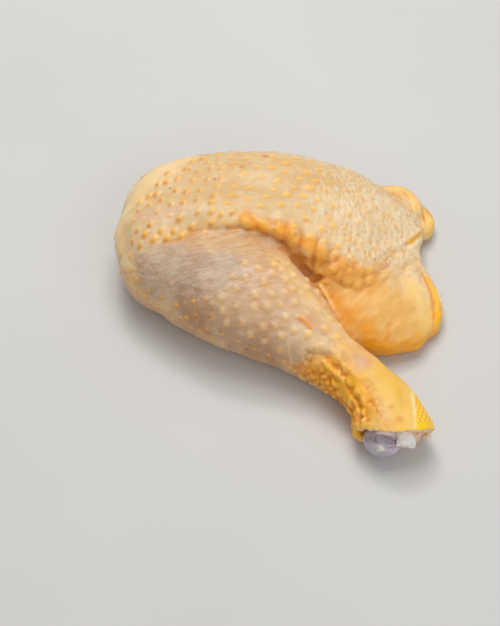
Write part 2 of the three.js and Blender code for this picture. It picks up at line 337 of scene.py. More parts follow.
class Signal:
    """A shader socket that takes part in Python arithmetic; each sign adds a Math node."""

    def __init__(self, shader: "Shader", socket: bpy.types.NodeSocket) -> None:
        """Wraps a socket of a shader."""
        self.shader = shader
        self.socket = socket

    def maths(self, operation: str, *others: object) -> "Signal":
        """Adds one Math node.

        Args:
            operation: the node's operation.
            others: its sockets in order.

        Returns:
            The node's result.
        """
        node = self.shader.add("ShaderNodeMath", {"operation": operation}, dict(enumerate(others)))
        return Signal(self.shader, node.outputs[0])

    def __add__(self, other: object) -> "Signal":
        """Sum."""
        return self.maths("ADD", self, other)

    __radd__ = __add__

    def __sub__(self, other: object) -> "Signal":
        """Difference."""
        return self.maths("SUBTRACT", self, other)

    def __rsub__(self, other: object) -> "Signal":
        """Difference from something else."""
        return self.maths("SUBTRACT", other, self)

    def __mul__(self, other: object) -> "Signal":
        """Product."""
        return self.maths("MULTIPLY", self, other)

    __rmul__ = __mul__

    def steps(self, none: float, full: float) -> "Signal":
        """A smooth weight that is 0 at none and 1 at full.

        Args:
            none: the value with a weight of 0.
            full: the value with a weight of 1.

        Returns:
            The weight.
        """
        node = self.shader.add(
            "ShaderNodeMapRange",
            {"interpolation_type": "SMOOTHSTEP"},
            {"Value": self, "From Min": none, "From Max": full},
        )
        return Signal(self.shader, node.outputs["Result"])


@dataclass
class Shader:
    """One material's nodes."""

    material: bpy.types.Material
    surface: bpy.types.Node

    @classmethod
    def begin(cls, name: str) -> "Shader":
        """Starts a material that holds one Principled shader."""
        material = bpy.data.materials.new(name)
        material.use_nodes = True
        return cls(material, material.node_tree.nodes["Principled BSDF"])

    def add(self, kind: str, settings: dict[str, object], sockets: dict[object, object]) -> bpy.types.Node:
        """Adds one node.

        Args:
            kind: the node's type.
            settings: its properties, which are set first.
            sockets: the values or links of its inputs, by name or number.

        Returns:
            The node.
        """
        node = self.material.node_tree.nodes.new(kind)
        for key, value in settings.items():
            setattr(node, key, value)
        for key, value in sockets.items():
            self.feed(node.inputs[key], value)
        return node

    def feed(self, socket: bpy.types.NodeSocket, value: object) -> None:
        """Links a signal or socket to an input, or sets the input's own value."""
        if isinstance(value, Signal):
            value = value.socket
        if isinstance(value, bpy.types.NodeSocket):
            self.material.node_tree.links.new(value, socket)
        else:
            socket.default_value = value

    def place(self) -> bpy.types.NodeSocket:
        """The surface's own coordinates, in metres."""
        return self.add("ShaderNodeTexCoord", {}, {}).outputs["Object"]

    def stretched(self, turn: tuple[float, float, float], scale: tuple[float, float, float],
                  bend: float = 0.0) -> bpy.types.NodeSocket:
        """Object coordinates turned and scaled, so that a pattern runs along one direction.

        Args:
            turn: the pattern's turn about X, Y and Z, in degrees.
            scale: how dense the pattern is along each turned axis.
            bend: how far a slow noise shifts the pattern, in metres.

        Returns:
            The coordinates.
        """
        at = self.place()
        if bend:
            slow = self.add("ShaderNodeTexNoise", {"noise_dimensions": "3D"}, {"Vector": at, "Scale": 55.0})
            shift = self.add("ShaderNodeVectorMath", {"operation": "MULTIPLY_ADD"},
                             {0: slow.outputs["Color"], 1: (bend, bend, bend), 2: at})
            at = shift.outputs[0]
        turned = self.add("ShaderNodeMapping", {"vector_type": "TEXTURE"},
                          {"Vector": at, "Rotation": tuple(math.radians(angle) for angle in turn)})
        sized = self.add("ShaderNodeVectorMath", {"operation": "MULTIPLY"}, {0: turned.outputs[0], 1: scale})
        return sized.outputs[0]

    def noise(self, at: object = None, scale: float = 1.0, detail: float = 2.0,
              rough: float = 0.5) -> Signal:
        """A soft noise from 0 to 1.

        Args:
            at: the coordinates, or none for the surface's own.
            scale: how dense it is.
            detail: how many finer layers it has.
            rough: how strong the finer layers are.

        Returns:
            The noise.
        """
        sockets = {"Vector": at or self.place(), "Scale": scale, "Detail": detail, "Roughness": rough}
        node = self.add("ShaderNodeTexNoise", {"noise_dimensions": "3D"}, sockets)
        return Signal(self, node.outputs["Fac"])

    def stored(self, name: str) -> Signal:
        """A number stored on the mesh by name."""
        node = self.add("ShaderNodeAttribute", {"attribute_name": name}, {})
        return Signal(self, node.outputs["Fac"])

    def stored_colour(self, name: str) -> bpy.types.NodeSocket:
        """A colour stored on the mesh by name."""
        return self.add("ShaderNodeAttribute", {"attribute_name": name}, {}).outputs["Color"]

    def blend(self, share: object, first: object, second: object) -> bpy.types.NodeSocket:
        """Mixes two colours.

        Args:
            share: how much of the second colour shows.
            first: the first colour.
            second: the second colour.

        Returns:
            The mixed colour.
        """
        node = self.add("ShaderNodeMix", {"data_type": "RGBA"}, {0: share, 6: first, 7: second})
        return node.outputs[2]

    def finish(self, sockets: dict[str, object], relief: object = None) -> None:
        """Sets the Principled shader's inputs and adds the fine relief.

        Args:
            sockets: its inputs by name.
            relief: the height of the fine relief in millimetres, or none.
        """
        for key, value in sockets.items():
            self.feed(self.surface.inputs[key], value)
        if relief is not None:
            bump = self.add("ShaderNodeBump", {}, {"Height": relief, "Distance": MM, "Strength": 1.0})
            self.feed(self.surface.inputs["Normal"], bump.outputs[0])


# ---------------------------------------------------------------- soft forms of the leg


@dataclass(frozen=True)
class Limb:
    """A soft form with an oval section: stations of x, y, z, half width and half height."""

    stations: tuple[tuple[float, float, float, float, float], ...]
    steps: int = 60

    def samples(self) -> np.ndarray:
        """Even samples along the form, each x, y, z, half width, half height."""
        knots = np.linspace(0.0, 1.0, len(self.stations))
        wanted = np.linspace(0.0, 1.0, self.steps)
        columns = np.array(self.stations).T
        return np.stack([np.interp(wanted, knots, column) for column in columns], axis=1)

    def runs(self, samples: np.ndarray) -> tuple[np.ndarray, np.ndarray, np.ndarray]:
        """Directions at each sample.

        Args:
            samples: the form's samples.

        Returns:
            The direction along the form, the one level across it, and the one up from it.
        """
        along = np.gradient(samples[:, :3], axis=0)
        along /= np.linalg.norm(along, axis=1)[:, None]
        across = np.cross(UP, along)
        across /= np.linalg.norm(across, axis=1)[:, None]
        return along, across, np.cross(along, across)

    def depth(self, points: np.ndarray) -> np.ndarray:
        """How far out points lie: 0 on the centre line and 1 on the form's own surface."""
        samples = self.samples()
        _, across, above = self.runs(samples)
        squares = (points ** 2).sum(1)[:, None] - 2 * points @ samples[:, :3].T
        nearest = (squares + (samples[:, :3] ** 2).sum(1)[None, :]).argmin(axis=1)
        offset = points - samples[nearest, :3]
        wide = (offset * across[nearest]).sum(1) / samples[nearest, 3]
        tall = (offset * above[nearest]).sum(1) / samples[nearest, 4]
        return np.hypot(wide, tall)


THIGH = Limb((
    (-30, 40, 19, 25, 20), (-10, 40.5, 20, 30, 23), (15, 39.5, 19.5, 31, 23),
    (38, 37, 16, 30.5, 19), (58, 37, 10.5, 27, 13), (70, 38, 7, 21, 8),
))
DRUMSTICK = Limb((
    (-31, 16, 19, 24, 19.5), (-20, 8.5, 20, 27, 21), (-3, -4, 19.5, 26, 20.5), (17, -20, 16, 18.5, 16.5),
    (32, -33, 12.5, 12.6, 12.3), (45, -45, 12, 11.5, 11.2), (54, -59, 11, 14.8, 10.6),
    (58, -78, 10.5, 17.5, 10.2),
))
WEB = Limb(((34, 6, 8, 22, 13), (52, -1, 8, 25, 13), (68, 0.5, 6, 24, 9)))


# ---------------------------------------------------------------- a mesh that is shaped and painted


class Surface:
    """A piece's mesh as arrays in layout millimetres, for shaping and painting."""

    def __init__(self, piece: bpy.types.Object) -> None:
        """Reads the piece's mesh."""
        self.piece = piece
        self.points = np.zeros((0, 3))
        self.normals = np.zeros((0, 3))
        self.read()

    def read(self) -> None:
        """Reads the points and their outward directions from the mesh."""
        mesh = self.piece.data
        flat = np.zeros(len(mesh.vertices) * 3, np.float32)
        mesh.vertices.foreach_get("co", flat)
        self.points = flat.reshape(-1, 3).astype(float) / MM + LAYOUT_ORIGIN
        mesh.vertex_normals.foreach_get("vector", flat)
        self.normals = flat.reshape(-1, 3).astype(float)

    def write(self) -> None:
        """Writes the points to the mesh and reads the new outward directions."""
        flat = ((self.points - LAYOUT_ORIGIN) * MM).astype(np.float32).ravel()
        self.piece.data.vertices.foreach_set("co", flat)
        self.piece.data.update()
        self.read()

    def push(self, amount: np.ndarray) -> None:
        """Moves each point out along its own direction, in millimetres."""
        self.points += self.normals * amount[:, None]
        self.write()

    def relaxed(self, passes: int, share: float = 0.5, back: float = 0.0,
                weight: np.ndarray | float = 1.0) -> np.ndarray:
        """Where the points lie once each is drawn towards the middle of its neighbours.

        Args:
            passes: how many times.
            share: how far it goes.
            back: how far it is pushed back after each time, which keeps broad forms their size.
            weight: how much each point takes part.

        Returns:
            The new places.
        """
        mesh = self.piece.data
        points = self.points.copy()
        ends = np.zeros(len(mesh.edges) * 2, np.int32)
        mesh.edges.foreach_get("vertices", ends)
        first, second = ends.reshape(-1, 2).T
        count = np.bincount(ends, minlength=len(self.points)).astype(float)
        weights = np.broadcast_to(weight, len(self.points))[:, None]
        for step in (share, -back) * passes:
            if not step:
                continue
            total = np.stack([
                np.bincount(first, points[second, axis], len(points))
                + np.bincount(second, points[first, axis], len(points))
                for axis in range(3)
            ], axis=1)
            points += step * weights * (total / count[:, None] - points)
        return points

    def relax(self, passes: int, share: float = 0.5, back: float = 0.0,
              weight: np.ndarray | float = 1.0) -> None:
        """Smooths the surface, as relaxed says, and keeps the result."""
        self.points = self.relaxed(passes, share, back, weight)
        self.write()

    def crest(self, passes: int) -> np.ndarray:
        """How far each point stands out from the surface smoothed so many times, in millimetres."""
        return ((self.points - self.relaxed(passes)) * self.normals).sum(1)

    def lay(self, sights: Sights, ridges: tuple["Ridge", ...], parts: dict["Part", np.ndarray]) -> None:
        """Raises and sinks lines on the surface.

        Args:
            sights: finds the lines on it.
            ridges: the lines.
            parts: how much each point belongs to each part.
        """
        wander = self.noise(4.5, shift=17.0)
        amount = np.zeros(len(self.points))
        for ridge in ridges:
            gap, along = line_distance(self.points, sights.line(ridge.line))
            gap = gap + wander * ridge.wide * 0.35
            ends = np.sin(np.clip(along, 0.02, 0.98) * math.pi) ** 0.5 if ridge.tapered else 1.0
            weight = 1.0 if ridge.part is Part.ANY else parts[ridge.part]
            amount += ridge.high * np.exp(-(gap / ridge.wide) ** 2) * ends * weight
        self.push(amount)

    def washed_colour(self, sights: Sights, colours: np.ndarray, washes: tuple["Wash", ...],
              parts: dict["Part", np.ndarray]) -> np.ndarray:
        """Lays washes of colour along lines on the surface; most are the surface's own colour, some are
        painted shade and light.

        Args:
            sights: finds the lines on it.
            colours: a linear colour for each point.
            washes: the washes, in the order that they are laid.
            parts: how much each point belongs to each part.

        Returns:
            The washed colours.
        """
        wander = self.noise(6.0, shift=31.0)
        for wash in washes:
            gap, _ = line_distance(self.points, sights.line(wash.line))
            gap = gap + wander * wash.soft * 0.28
            share = fade(gap, wash.reach - wash.soft * 0.5, wash.reach + wash.soft * 0.5) * wash.strength
            share = share if wash.part is Part.ANY else share * parts[wash.part]
            colours = colours * (1 - share[:, None]) + share[:, None] * np.array(tone(*wash.shade)[:3])
        return colours

    def tree(self) -> BVHTree:
        """The surface as it is now, for sight lines, in frame metres."""
        graph = bpy.context.evaluated_depsgraph_get()
        return BVHTree.FromObject(self.piece, graph)

    def finder(self) -> KDTree:
        """The surface's points, for finding near ones, in layout millimetres."""
        found = KDTree(len(self.points))
        for index, point in enumerate(self.points):
            found.insert(point, index)
        found.balance()
        return found

    def noise(self, scale: float, stretch: tuple[float, float, float] = (1.0, 1.0, 1.0),
              shift: float = 0.0) -> np.ndarray:
        """A soft noise at each point, from about -1 to 1.

        Args:
            scale: the size of its swells, in millimetres.
            stretch: how much longer the swells are along X, Y and Z.
            shift: moves the noise, so that two layers differ.

        Returns:
            The noise.
        """
        return soft_noise(self.points / (scale * np.array(stretch)) + shift)

    def store(self, name: str, values: np.ndarray) -> None:
        """Stores a number for each point on the mesh, under a name."""
        kept = self.piece.data.attributes.new(name, "FLOAT", "POINT")
        kept.data.foreach_set("value", values.astype(np.float32))

    def store_colour(self, name: str, colours: np.ndarray) -> None:
        """Stores a linear colour for each point on the mesh, under a name."""
        kept = self.piece.data.attributes.new(name, "FLOAT_COLOR", "POINT")
        full = np.ones((len(colours), 4), np.float32)
        full[:, :3] = colours
        kept.data.foreach_set("color", full.ravel())


def merged_copy(node: str, name: str) -> bpy.types.Object:
    """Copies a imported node's mesh into a new piece and merges its loose triangles.

    Args:
        node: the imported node.
        name: the new piece's name.

    Returns:
        The new piece, at the origin.
    """
    made = bmesh.new()
    made.from_mesh(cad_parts[node].data)
    bmesh.ops.remove_doubles(made, verts=made.verts, dist=2e-6)
    mesh = bpy.data.meshes.new(name)
    made.to_mesh(mesh)
    made.free()
    piece = bpy.data.objects.new(name, mesh)
    bpy.context.scene.collection.objects.link(piece)
    return piece


def even_out(piece: bpy.types.Object, cell: float) -> None:
    """Remakes a piece's mesh on an even fine grid.

    Args:
        piece: the piece, whose mesh is replaced.
        cell: the grid's cell, in millimetres.
    """
    even = piece.modifiers.new("even", "REMESH")
    even.mode = "VOXEL"
    even.voxel_size = cell * MM
    graph = bpy.context.evaluated_depsgraph_get()
    mesh = bpy.data.meshes.new_from_object(piece.evaluated_get(graph))
    piece.modifiers.clear()
    mesh.name = piece.name
    mesh.shade_smooth()
    piece.data = mesh


# ---------------------------------------------------------------- marks on the skin


class Part(Enum):
    """Which part of the leg a mark stays on."""

    ANY = "any"
    THIGH = "thigh"
    DRUMSTICK = "drumstick"
    WEB = "web"


@dataclass(frozen=True)
class Ridge:
    """A raised line on the skin, or a sunken one where its height is negative."""

    line: PxLine
    wide: float
    high: float
    part: Part = Part.ANY
    tapered: bool = True


@dataclass(frozen=True)
class Wash:
    """A soft wash of colour along a line on the skin: mostly its own colour, in some places painted shade and
    light.
    """

    shade: tuple[int, int, int]
    line: PxLine
    reach: float
    soft: float
    part: Part = Part.ANY
    strength: float = 1.0


@dataclass(frozen=True)
class Form:
    """The relief of one follicle and of its coloured cap, in millimetres."""

    high: float
    across: float  # half width
    along: float  # half length, in the direction that it leans
    hole: float  # depth of the feather's hole
    cap_down: float  # how far the cap lies down from the middle
    cap_across: float
    cap_along: float


class Growth(Enum):
    """What a follicle looks like, by where it grows."""

    SPOT = Form(0.28, 2.0, 2.0, 0.08, 0.1, 1.6, 1.45)  # soft yellow spot of the thigh
    BUMP = Form(0.60, 1.4, 2.6, 0.08, 0.5, 1.0, 1.7)  # leaning orange bump of the knee and the fold
    MOUND = Form(1.0, 2.4, 2.2, 0.0, 1.25, 1.9, 0.9)  # pale mound of the drumstick, yellow below
    DOT = Form(0.38, 1.2, 1.4, 0.22, 0.1, 1.05, 1.1)  # small orange dot of the drumstick's lower side


@dataclass(frozen=True)
class Follicle:
    """One feather follicle: its place, its kind, its size, how orange and how bold it is."""

    at: np.ndarray
    growth: Growth
    size: float
    warmth: float
    bold: float


# The fingers of the gathered fold: where each starts and its tip, PX.
FINGERS_PX: tuple[PxLine, ...] = (
    ((242.6, 209.0), (248.8, 226.0)),
    ((255.0, 208.5), (266.0, 230.5)),
    ((278.0, 214.0), (280.0, 234.5)),
    ((296.0, 217.0), (292.0, 241.5)),
    ((313.0, 226.0), (308.5, 250.0)),
    ((326.0, 237.0), (320.6, 255.0)),
)
# The orange fringe along the gathered fold, PX.
FRINGE_PX: PxLine = ((246, 222), (266, 226), (280, 230), (300, 241), (322, 252), (344, 266), (366, 279))
# Smaller bumps of the gathered skin under the last fingers, PX.
GATHERS_PX: tuple[PxLine, ...] = (
    ((341.0, 250.0), (332.0, 259.5)),
    ((340.0, 260.0), (333.5, 268.5)),
    ((346.0, 256.0), (342.0, 266.0)),
    ((352.0, 263.0), (347.3, 279.0)),
    ((343.0, 270.0), (339.0, 277.0)),
    ((361.0, 274.0), (357.0, 284.5)),
    ((355.0, 256.0), (352.0, 264.0)),
    ((363.0, 262.0), (359.0, 271.0)),
    ((374.0, 274.5), (368.0, 281.5)),
    ((371.0, 264.0), (368.0, 271.0)),
)
# The pale strip between the shin's smooth skin and its scales, PX.
STRIP_PX: PxLine = ((411.0, 380.0), (412.5, 396.0), (414.5, 412.0), (416.0, 432.0))
# The rolled lip of skin at the lower left of the cut, PX.
LIP_PX: PxLine = ((353.5, 431.0), (358.0, 434.5), (364.0, 436.5), (370.0, 435.0))
# The scrap of feather sheath that sticks to the drumstick, PX.
SCRAP_PX: PxLine = ((298, 317), (305, 321), (312, 328))
# The drumstick's muscle, where the skin is thin and finely wrinkled, and the part of it without feathers, PX.
MUSCLE_PX: PxLine = ((165, 266), (195, 264), (228, 256), (258, 252))
BARE_MUSCLE_PX: PxLine = ((158, 268), (190, 268), (222, 258), (255, 250))
# The smooth skin over the knee, and the thin skin above the shin, PX.
KNEE_PX: PxLine = ((120, 242), (124, 208), (140, 184), (160, 167), (184, 157))
THIN_SKIN_PX: PxLine = ((303, 352), (318, 352), (332, 356))
# The bunched skin of the shin: its middle, its lower side and its upper side, PX.
SHIN_PX: PxLine = ((318, 366), (345, 385), (362, 412))
SHIN_BELOW_PX: PxLine = ((300, 376), (324, 386), (341, 401), (350, 416), (356, 430))
SHIN_ABOVE_PX: PxLine = ((318, 366), (338, 380), (356, 396), (364, 416))
# The rows of scales, the lobe at the hip and the upper end of the web, PX.
SCALES_PX: PxLine = ((420, 386), (424, 398), (428, 412), (431, 429))
LOBE_PX: PxLine = ((392, 190), (410, 194), (420, 206))
WEB_TOP_PX: PxLine = ((372, 262), (398, 260), (416, 266), (424, 280))
# The groove behind the web's yellow rim, PX.
RIM_GROOVE_PX: PxLine = ((421, 270), (427, 283), (431, 293), (434, 310), (433.5, 331))
# The two pale folds beside the drumstick and the valley between them, PX.
OUTER_FOLD_PX: PxLine = ((304.8, 275.5), (319, 295), (332.7, 315.5))
INNER_FOLD_PX: PxLine = ((318.2, 282.7), (326, 295), (335, 310.6))
FOLD_VALLEY_PX: PxLine = ((311, 279), (322, 295), (334, 313))
# Follicles that stand out in the picture, on the thigh and on the drumstick, PX.
THIGH_FOLLICLES_PX: PxLine = (
    (157.6, 193.3), (162.5, 199.4), (149.6, 204.3), (139.2, 209.8), (142.9, 218.4), (150.8, 223.9),
    (138.0, 229.4), (145.9, 233.7), (154.5, 238.8), (133.7, 220.2), (157.0, 211.6), (171.6, 203.1),
    (169.2, 215.3), (161.5, 230.5), (167.2, 237.8), (174.6, 230.5), (180.2, 217.8), (183.9, 201.9),
    (176.5, 189.6), (167.4, 181.0), (158.8, 183.5), (149.6, 195.1), (187.6, 190.8), (178.4, 178.0),
    (169.2, 172.5), (193.7, 179.8), (208.4, 179.2), (198.6, 171.3), (187.6, 168.8), (201.0, 189.6),
    (198.6, 198.8), (198.0, 211.6), (192.5, 226.0), (182.0, 235.5), (212.0, 222.7), (229.2, 224.0),
    (212.6, 210.4), (214.5, 195.1), (218.2, 186.0), (221.8, 177.4), (232.8, 195.1), (234.1, 186.6),
    (232.2, 211.6), (246.9, 198.8), (250.0, 187.8), (243.3, 173.7), (261.6, 176.2), (277.5, 180.4),
    (273.2, 189.0), (265.9, 196.3), (261.0, 205.5), (280.6, 204.3), (293.4, 187.2), (286.7, 194.5),
    (212.0, 167.0), (223.0, 168.0), (234.0, 163.5), (284.5, 172.0), (299.5, 178.5), (309.0, 187.5),
    (303.0, 196.0), (297.5, 205.5), (317.5, 199.5), (313.5, 209.0), (326.0, 190.5), (333.5, 206.0),
    (329.0, 218.0), (349.0, 213.5), (333.0, 226.0), (345.0, 228.0), (358.0, 222.0),
)
DRUMSTICK_FOLLICLES_PX: PxLine = (
    (257.9, 266.7), (245.7, 276.5), (236.5, 287.5), (264.0, 280.8), (272.0, 271.6), (254.9, 293.7),
    (272.0, 293.0), (253.7, 307.1), (267.1, 306.5), (280.6, 303.4), (235.3, 305.9), (220.0, 296.1),
    (206.5, 299.2), (193.7, 301.0), (176.5, 304.7), (161.2, 297.3), (149.0, 290.6), (137.4, 279.0),
    (135.5, 290.6), (145.9, 296.7), (157.0, 307.1), (129.4, 255.7), (120.9, 254.5), (123.9, 270.4),
    (180.8, 318.1), (187.0, 317.5), (196.1, 315.1), (212.7, 316.3), (172.9, 319.4), (241.4, 321.8),
    (285.5, 291.2), (285.5, 317.0), (226.0, 322.5), (275.2, 263.3), (286.0, 278.0), (274.5, 325.2),
    (295.2, 300.9), (307.3, 312.4), (263.0, 326.4), (263.6, 340.0), (280.0, 349.4), (269.1, 355.5),
    (294.0, 330.0), (281.0, 336.0), (250.0, 334.0), (239.0, 342.0), (254.0, 349.0), (222.0, 334.0),
    (207.0, 329.0), (293.0, 287.0), (301.0, 292.0), (282.0, 268.0), (245.0, 262.0), (233.0, 275.0),
)
# Where the thigh's fold meets the drumstick, and the dark hollow under the fingers, PX.
FOLD_LINE_PX: PxLine = (
    (157.0, 243.0), (170.0, 242.0), (181.0, 239.0), (190.0, 234.5), (197.0, 230.0), (219.0, 229.0),
    (242.0, 228.0), (252.0, 229.0), (264.0, 233.0), (274.0, 238.0), (282.0, 243.0),
)
CREASE_PX: PxLine = ((279.0, 238.0), (287.0, 248.0), (296.0, 260.0), (306.0, 271.0), (315.0, 277.0))


def around(centre: tuple[float, float], half: tuple[float, float], turn: float, count: int = 14) -> PxLine:
    """A closed oval line in the picture.

    Args:
        centre: its middle, in picture pixels.
        half: its half sizes.
        turn: its turn in degrees.
        count: how many points it has.

    Returns:
        The line.
    """
    cosine, sine = math.cos(math.radians(turn)), math.sin(math.radians(turn))
    angles = [2 * math.pi * step / count for step in range(count + 1)]
    ovals = [(half[0] * math.cos(angle), half[1] * math.sin(angle)) for angle in angles]
    return tuple((centre[0] + x * cosine - y * sine, centre[1] + x * sine + y * cosine) for x, y in ovals)


RIDGES = (
    # long folds beside the crease
    Ridge(OUTER_FOLD_PX, 0.9, 0.8),
    Ridge(INNER_FOLD_PX, 0.8, 0.8),
    Ridge(FOLD_VALLEY_PX, 0.6, -0.5),
    Ridge(((313, 296), (327, 314), (341, 334)), 1.1, 0.5, Part.DRUMSTICK),
    Ridge(((316, 322), (331, 337), (345, 350), (356, 362)), 1.2, 0.6, Part.DRUMSTICK),
    Ridge(((330, 326), (344, 343), (358, 358)), 1.2, 0.45, Part.DRUMSTICK),
    # scrap of feather sheath that sticks to the skin
    Ridge(SCRAP_PX, 1.1, 0.8, Part.DRUMSTICK, False),
    # raised borders of the thin skin above the shin
    Ridge(((288, 343), (289.5, 354), (292, 364)), 0.8, 0.3, Part.DRUMSTICK),
    Ridge(((302.5, 345), (302, 356), (303.5, 366)), 0.8, 0.4, Part.DRUMSTICK),
    Ridge(((303, 346), (316, 345), (330, 347), (338, 356)), 1.3, 0.3, Part.DRUMSTICK),
    # creases across the shin where the skin bunches
    Ridge(((328, 358), (330, 364), (338, 369), (343, 375)), 1.0, -1.0, Part.DRUMSTICK),
    Ridge(((343, 375), (346, 381), (349, 389)), 0.8, -0.5, Part.DRUMSTICK),
    Ridge(((335, 352), (341, 362), (349, 369), (357, 378)), 1.5, 1.0, Part.DRUMSTICK),
    Ridge(((324, 361), (330, 369), (339, 374), (343, 384)), 1.3, 1.0, Part.DRUMSTICK),
    Ridge(((309, 366), (317, 362), (325, 362)), 1.1, 0.7, Part.DRUMSTICK),
    Ridge(((350, 388), (357, 402), (359, 414), (359, 427)), 1.2, -1.0, Part.DRUMSTICK),
    Ridge(((354, 384), (363, 396), (366, 408)), 1.3, 0.6, Part.DRUMSTICK),
    # wavy wrinkles above the cut
    Ridge(((361, 411), (368, 408), (376, 407)), 0.75, 0.5, Part.DRUMSTICK),
    Ridge(((361, 415), (368, 413), (376, 411)), 0.75, 0.5, Part.DRUMSTICK),
    Ridge(((362, 420), (370, 417), (377, 417)), 0.75, 0.55, Part.DRUMSTICK),
    Ridge(((362, 425), (371, 422), (383, 422)), 0.8, 0.5, Part.DRUMSTICK),
    # stretch folds that run from the hip edge down to the web
    Ridge(((425, 226), (409, 238), (398, 246), (385, 249)), 1.0, 0.7),
    Ridge(((424, 232), (411, 242), (402, 250), (393, 258)), 1.0, -0.3),
    Ridge(((422, 240), (407, 251), (396, 262), (383, 276)), 1.0, 0.5),
    Ridge(((400, 247), (388, 258), (377, 268)), 0.9, -0.6),
    Ridge(((396, 243), (380, 253), (366, 262)), 0.9, 0.45),
    Ridge(((412, 259), (402, 265), (394, 273)), 0.8, 0.35),
    Ridge(((402, 254), (407, 251)), 1.1, -0.8),
    Ridge(((417, 244), (419, 256), (420, 268)), 0.8, 0.5),
    Ridge(((405, 259), (392, 270), (376, 283)), 0.8, 0.45),
    Ridge(((399, 258), (386, 268), (372, 279)), 0.6, -0.4),
    Ridge(((386, 284), (392, 277), (402, 270)), 0.8, 0.35),
    # rolled lip of skin at the cut
    Ridge(LIP_PX, 2.4, 2.2),
    Ridge(((361, 432.5), (367, 434), (372, 433)), 2.0, 1.4),
    # rim and groove of the web's outer edge
    Ridge(RIM_GROOVE_PX, 0.65, -0.9),
    Ridge(((428, 280), (436, 296), (440, 312), (440.5, 330)), 0.9, 0.6),
    # hollow of the lobe at the hip, its rolled rim and the cleft before the tag
    Ridge(((389, 196), (397, 200), (403, 206)), 2.8, -1.4),
    Ridge(((387, 187.5), (396, 187), (407, 192), (416, 202), (421, 213)), 1.7, 1.1),
    Ridge(((423.5, 207), (425, 216), (426.5, 226)), 0.9, -1.2),
)


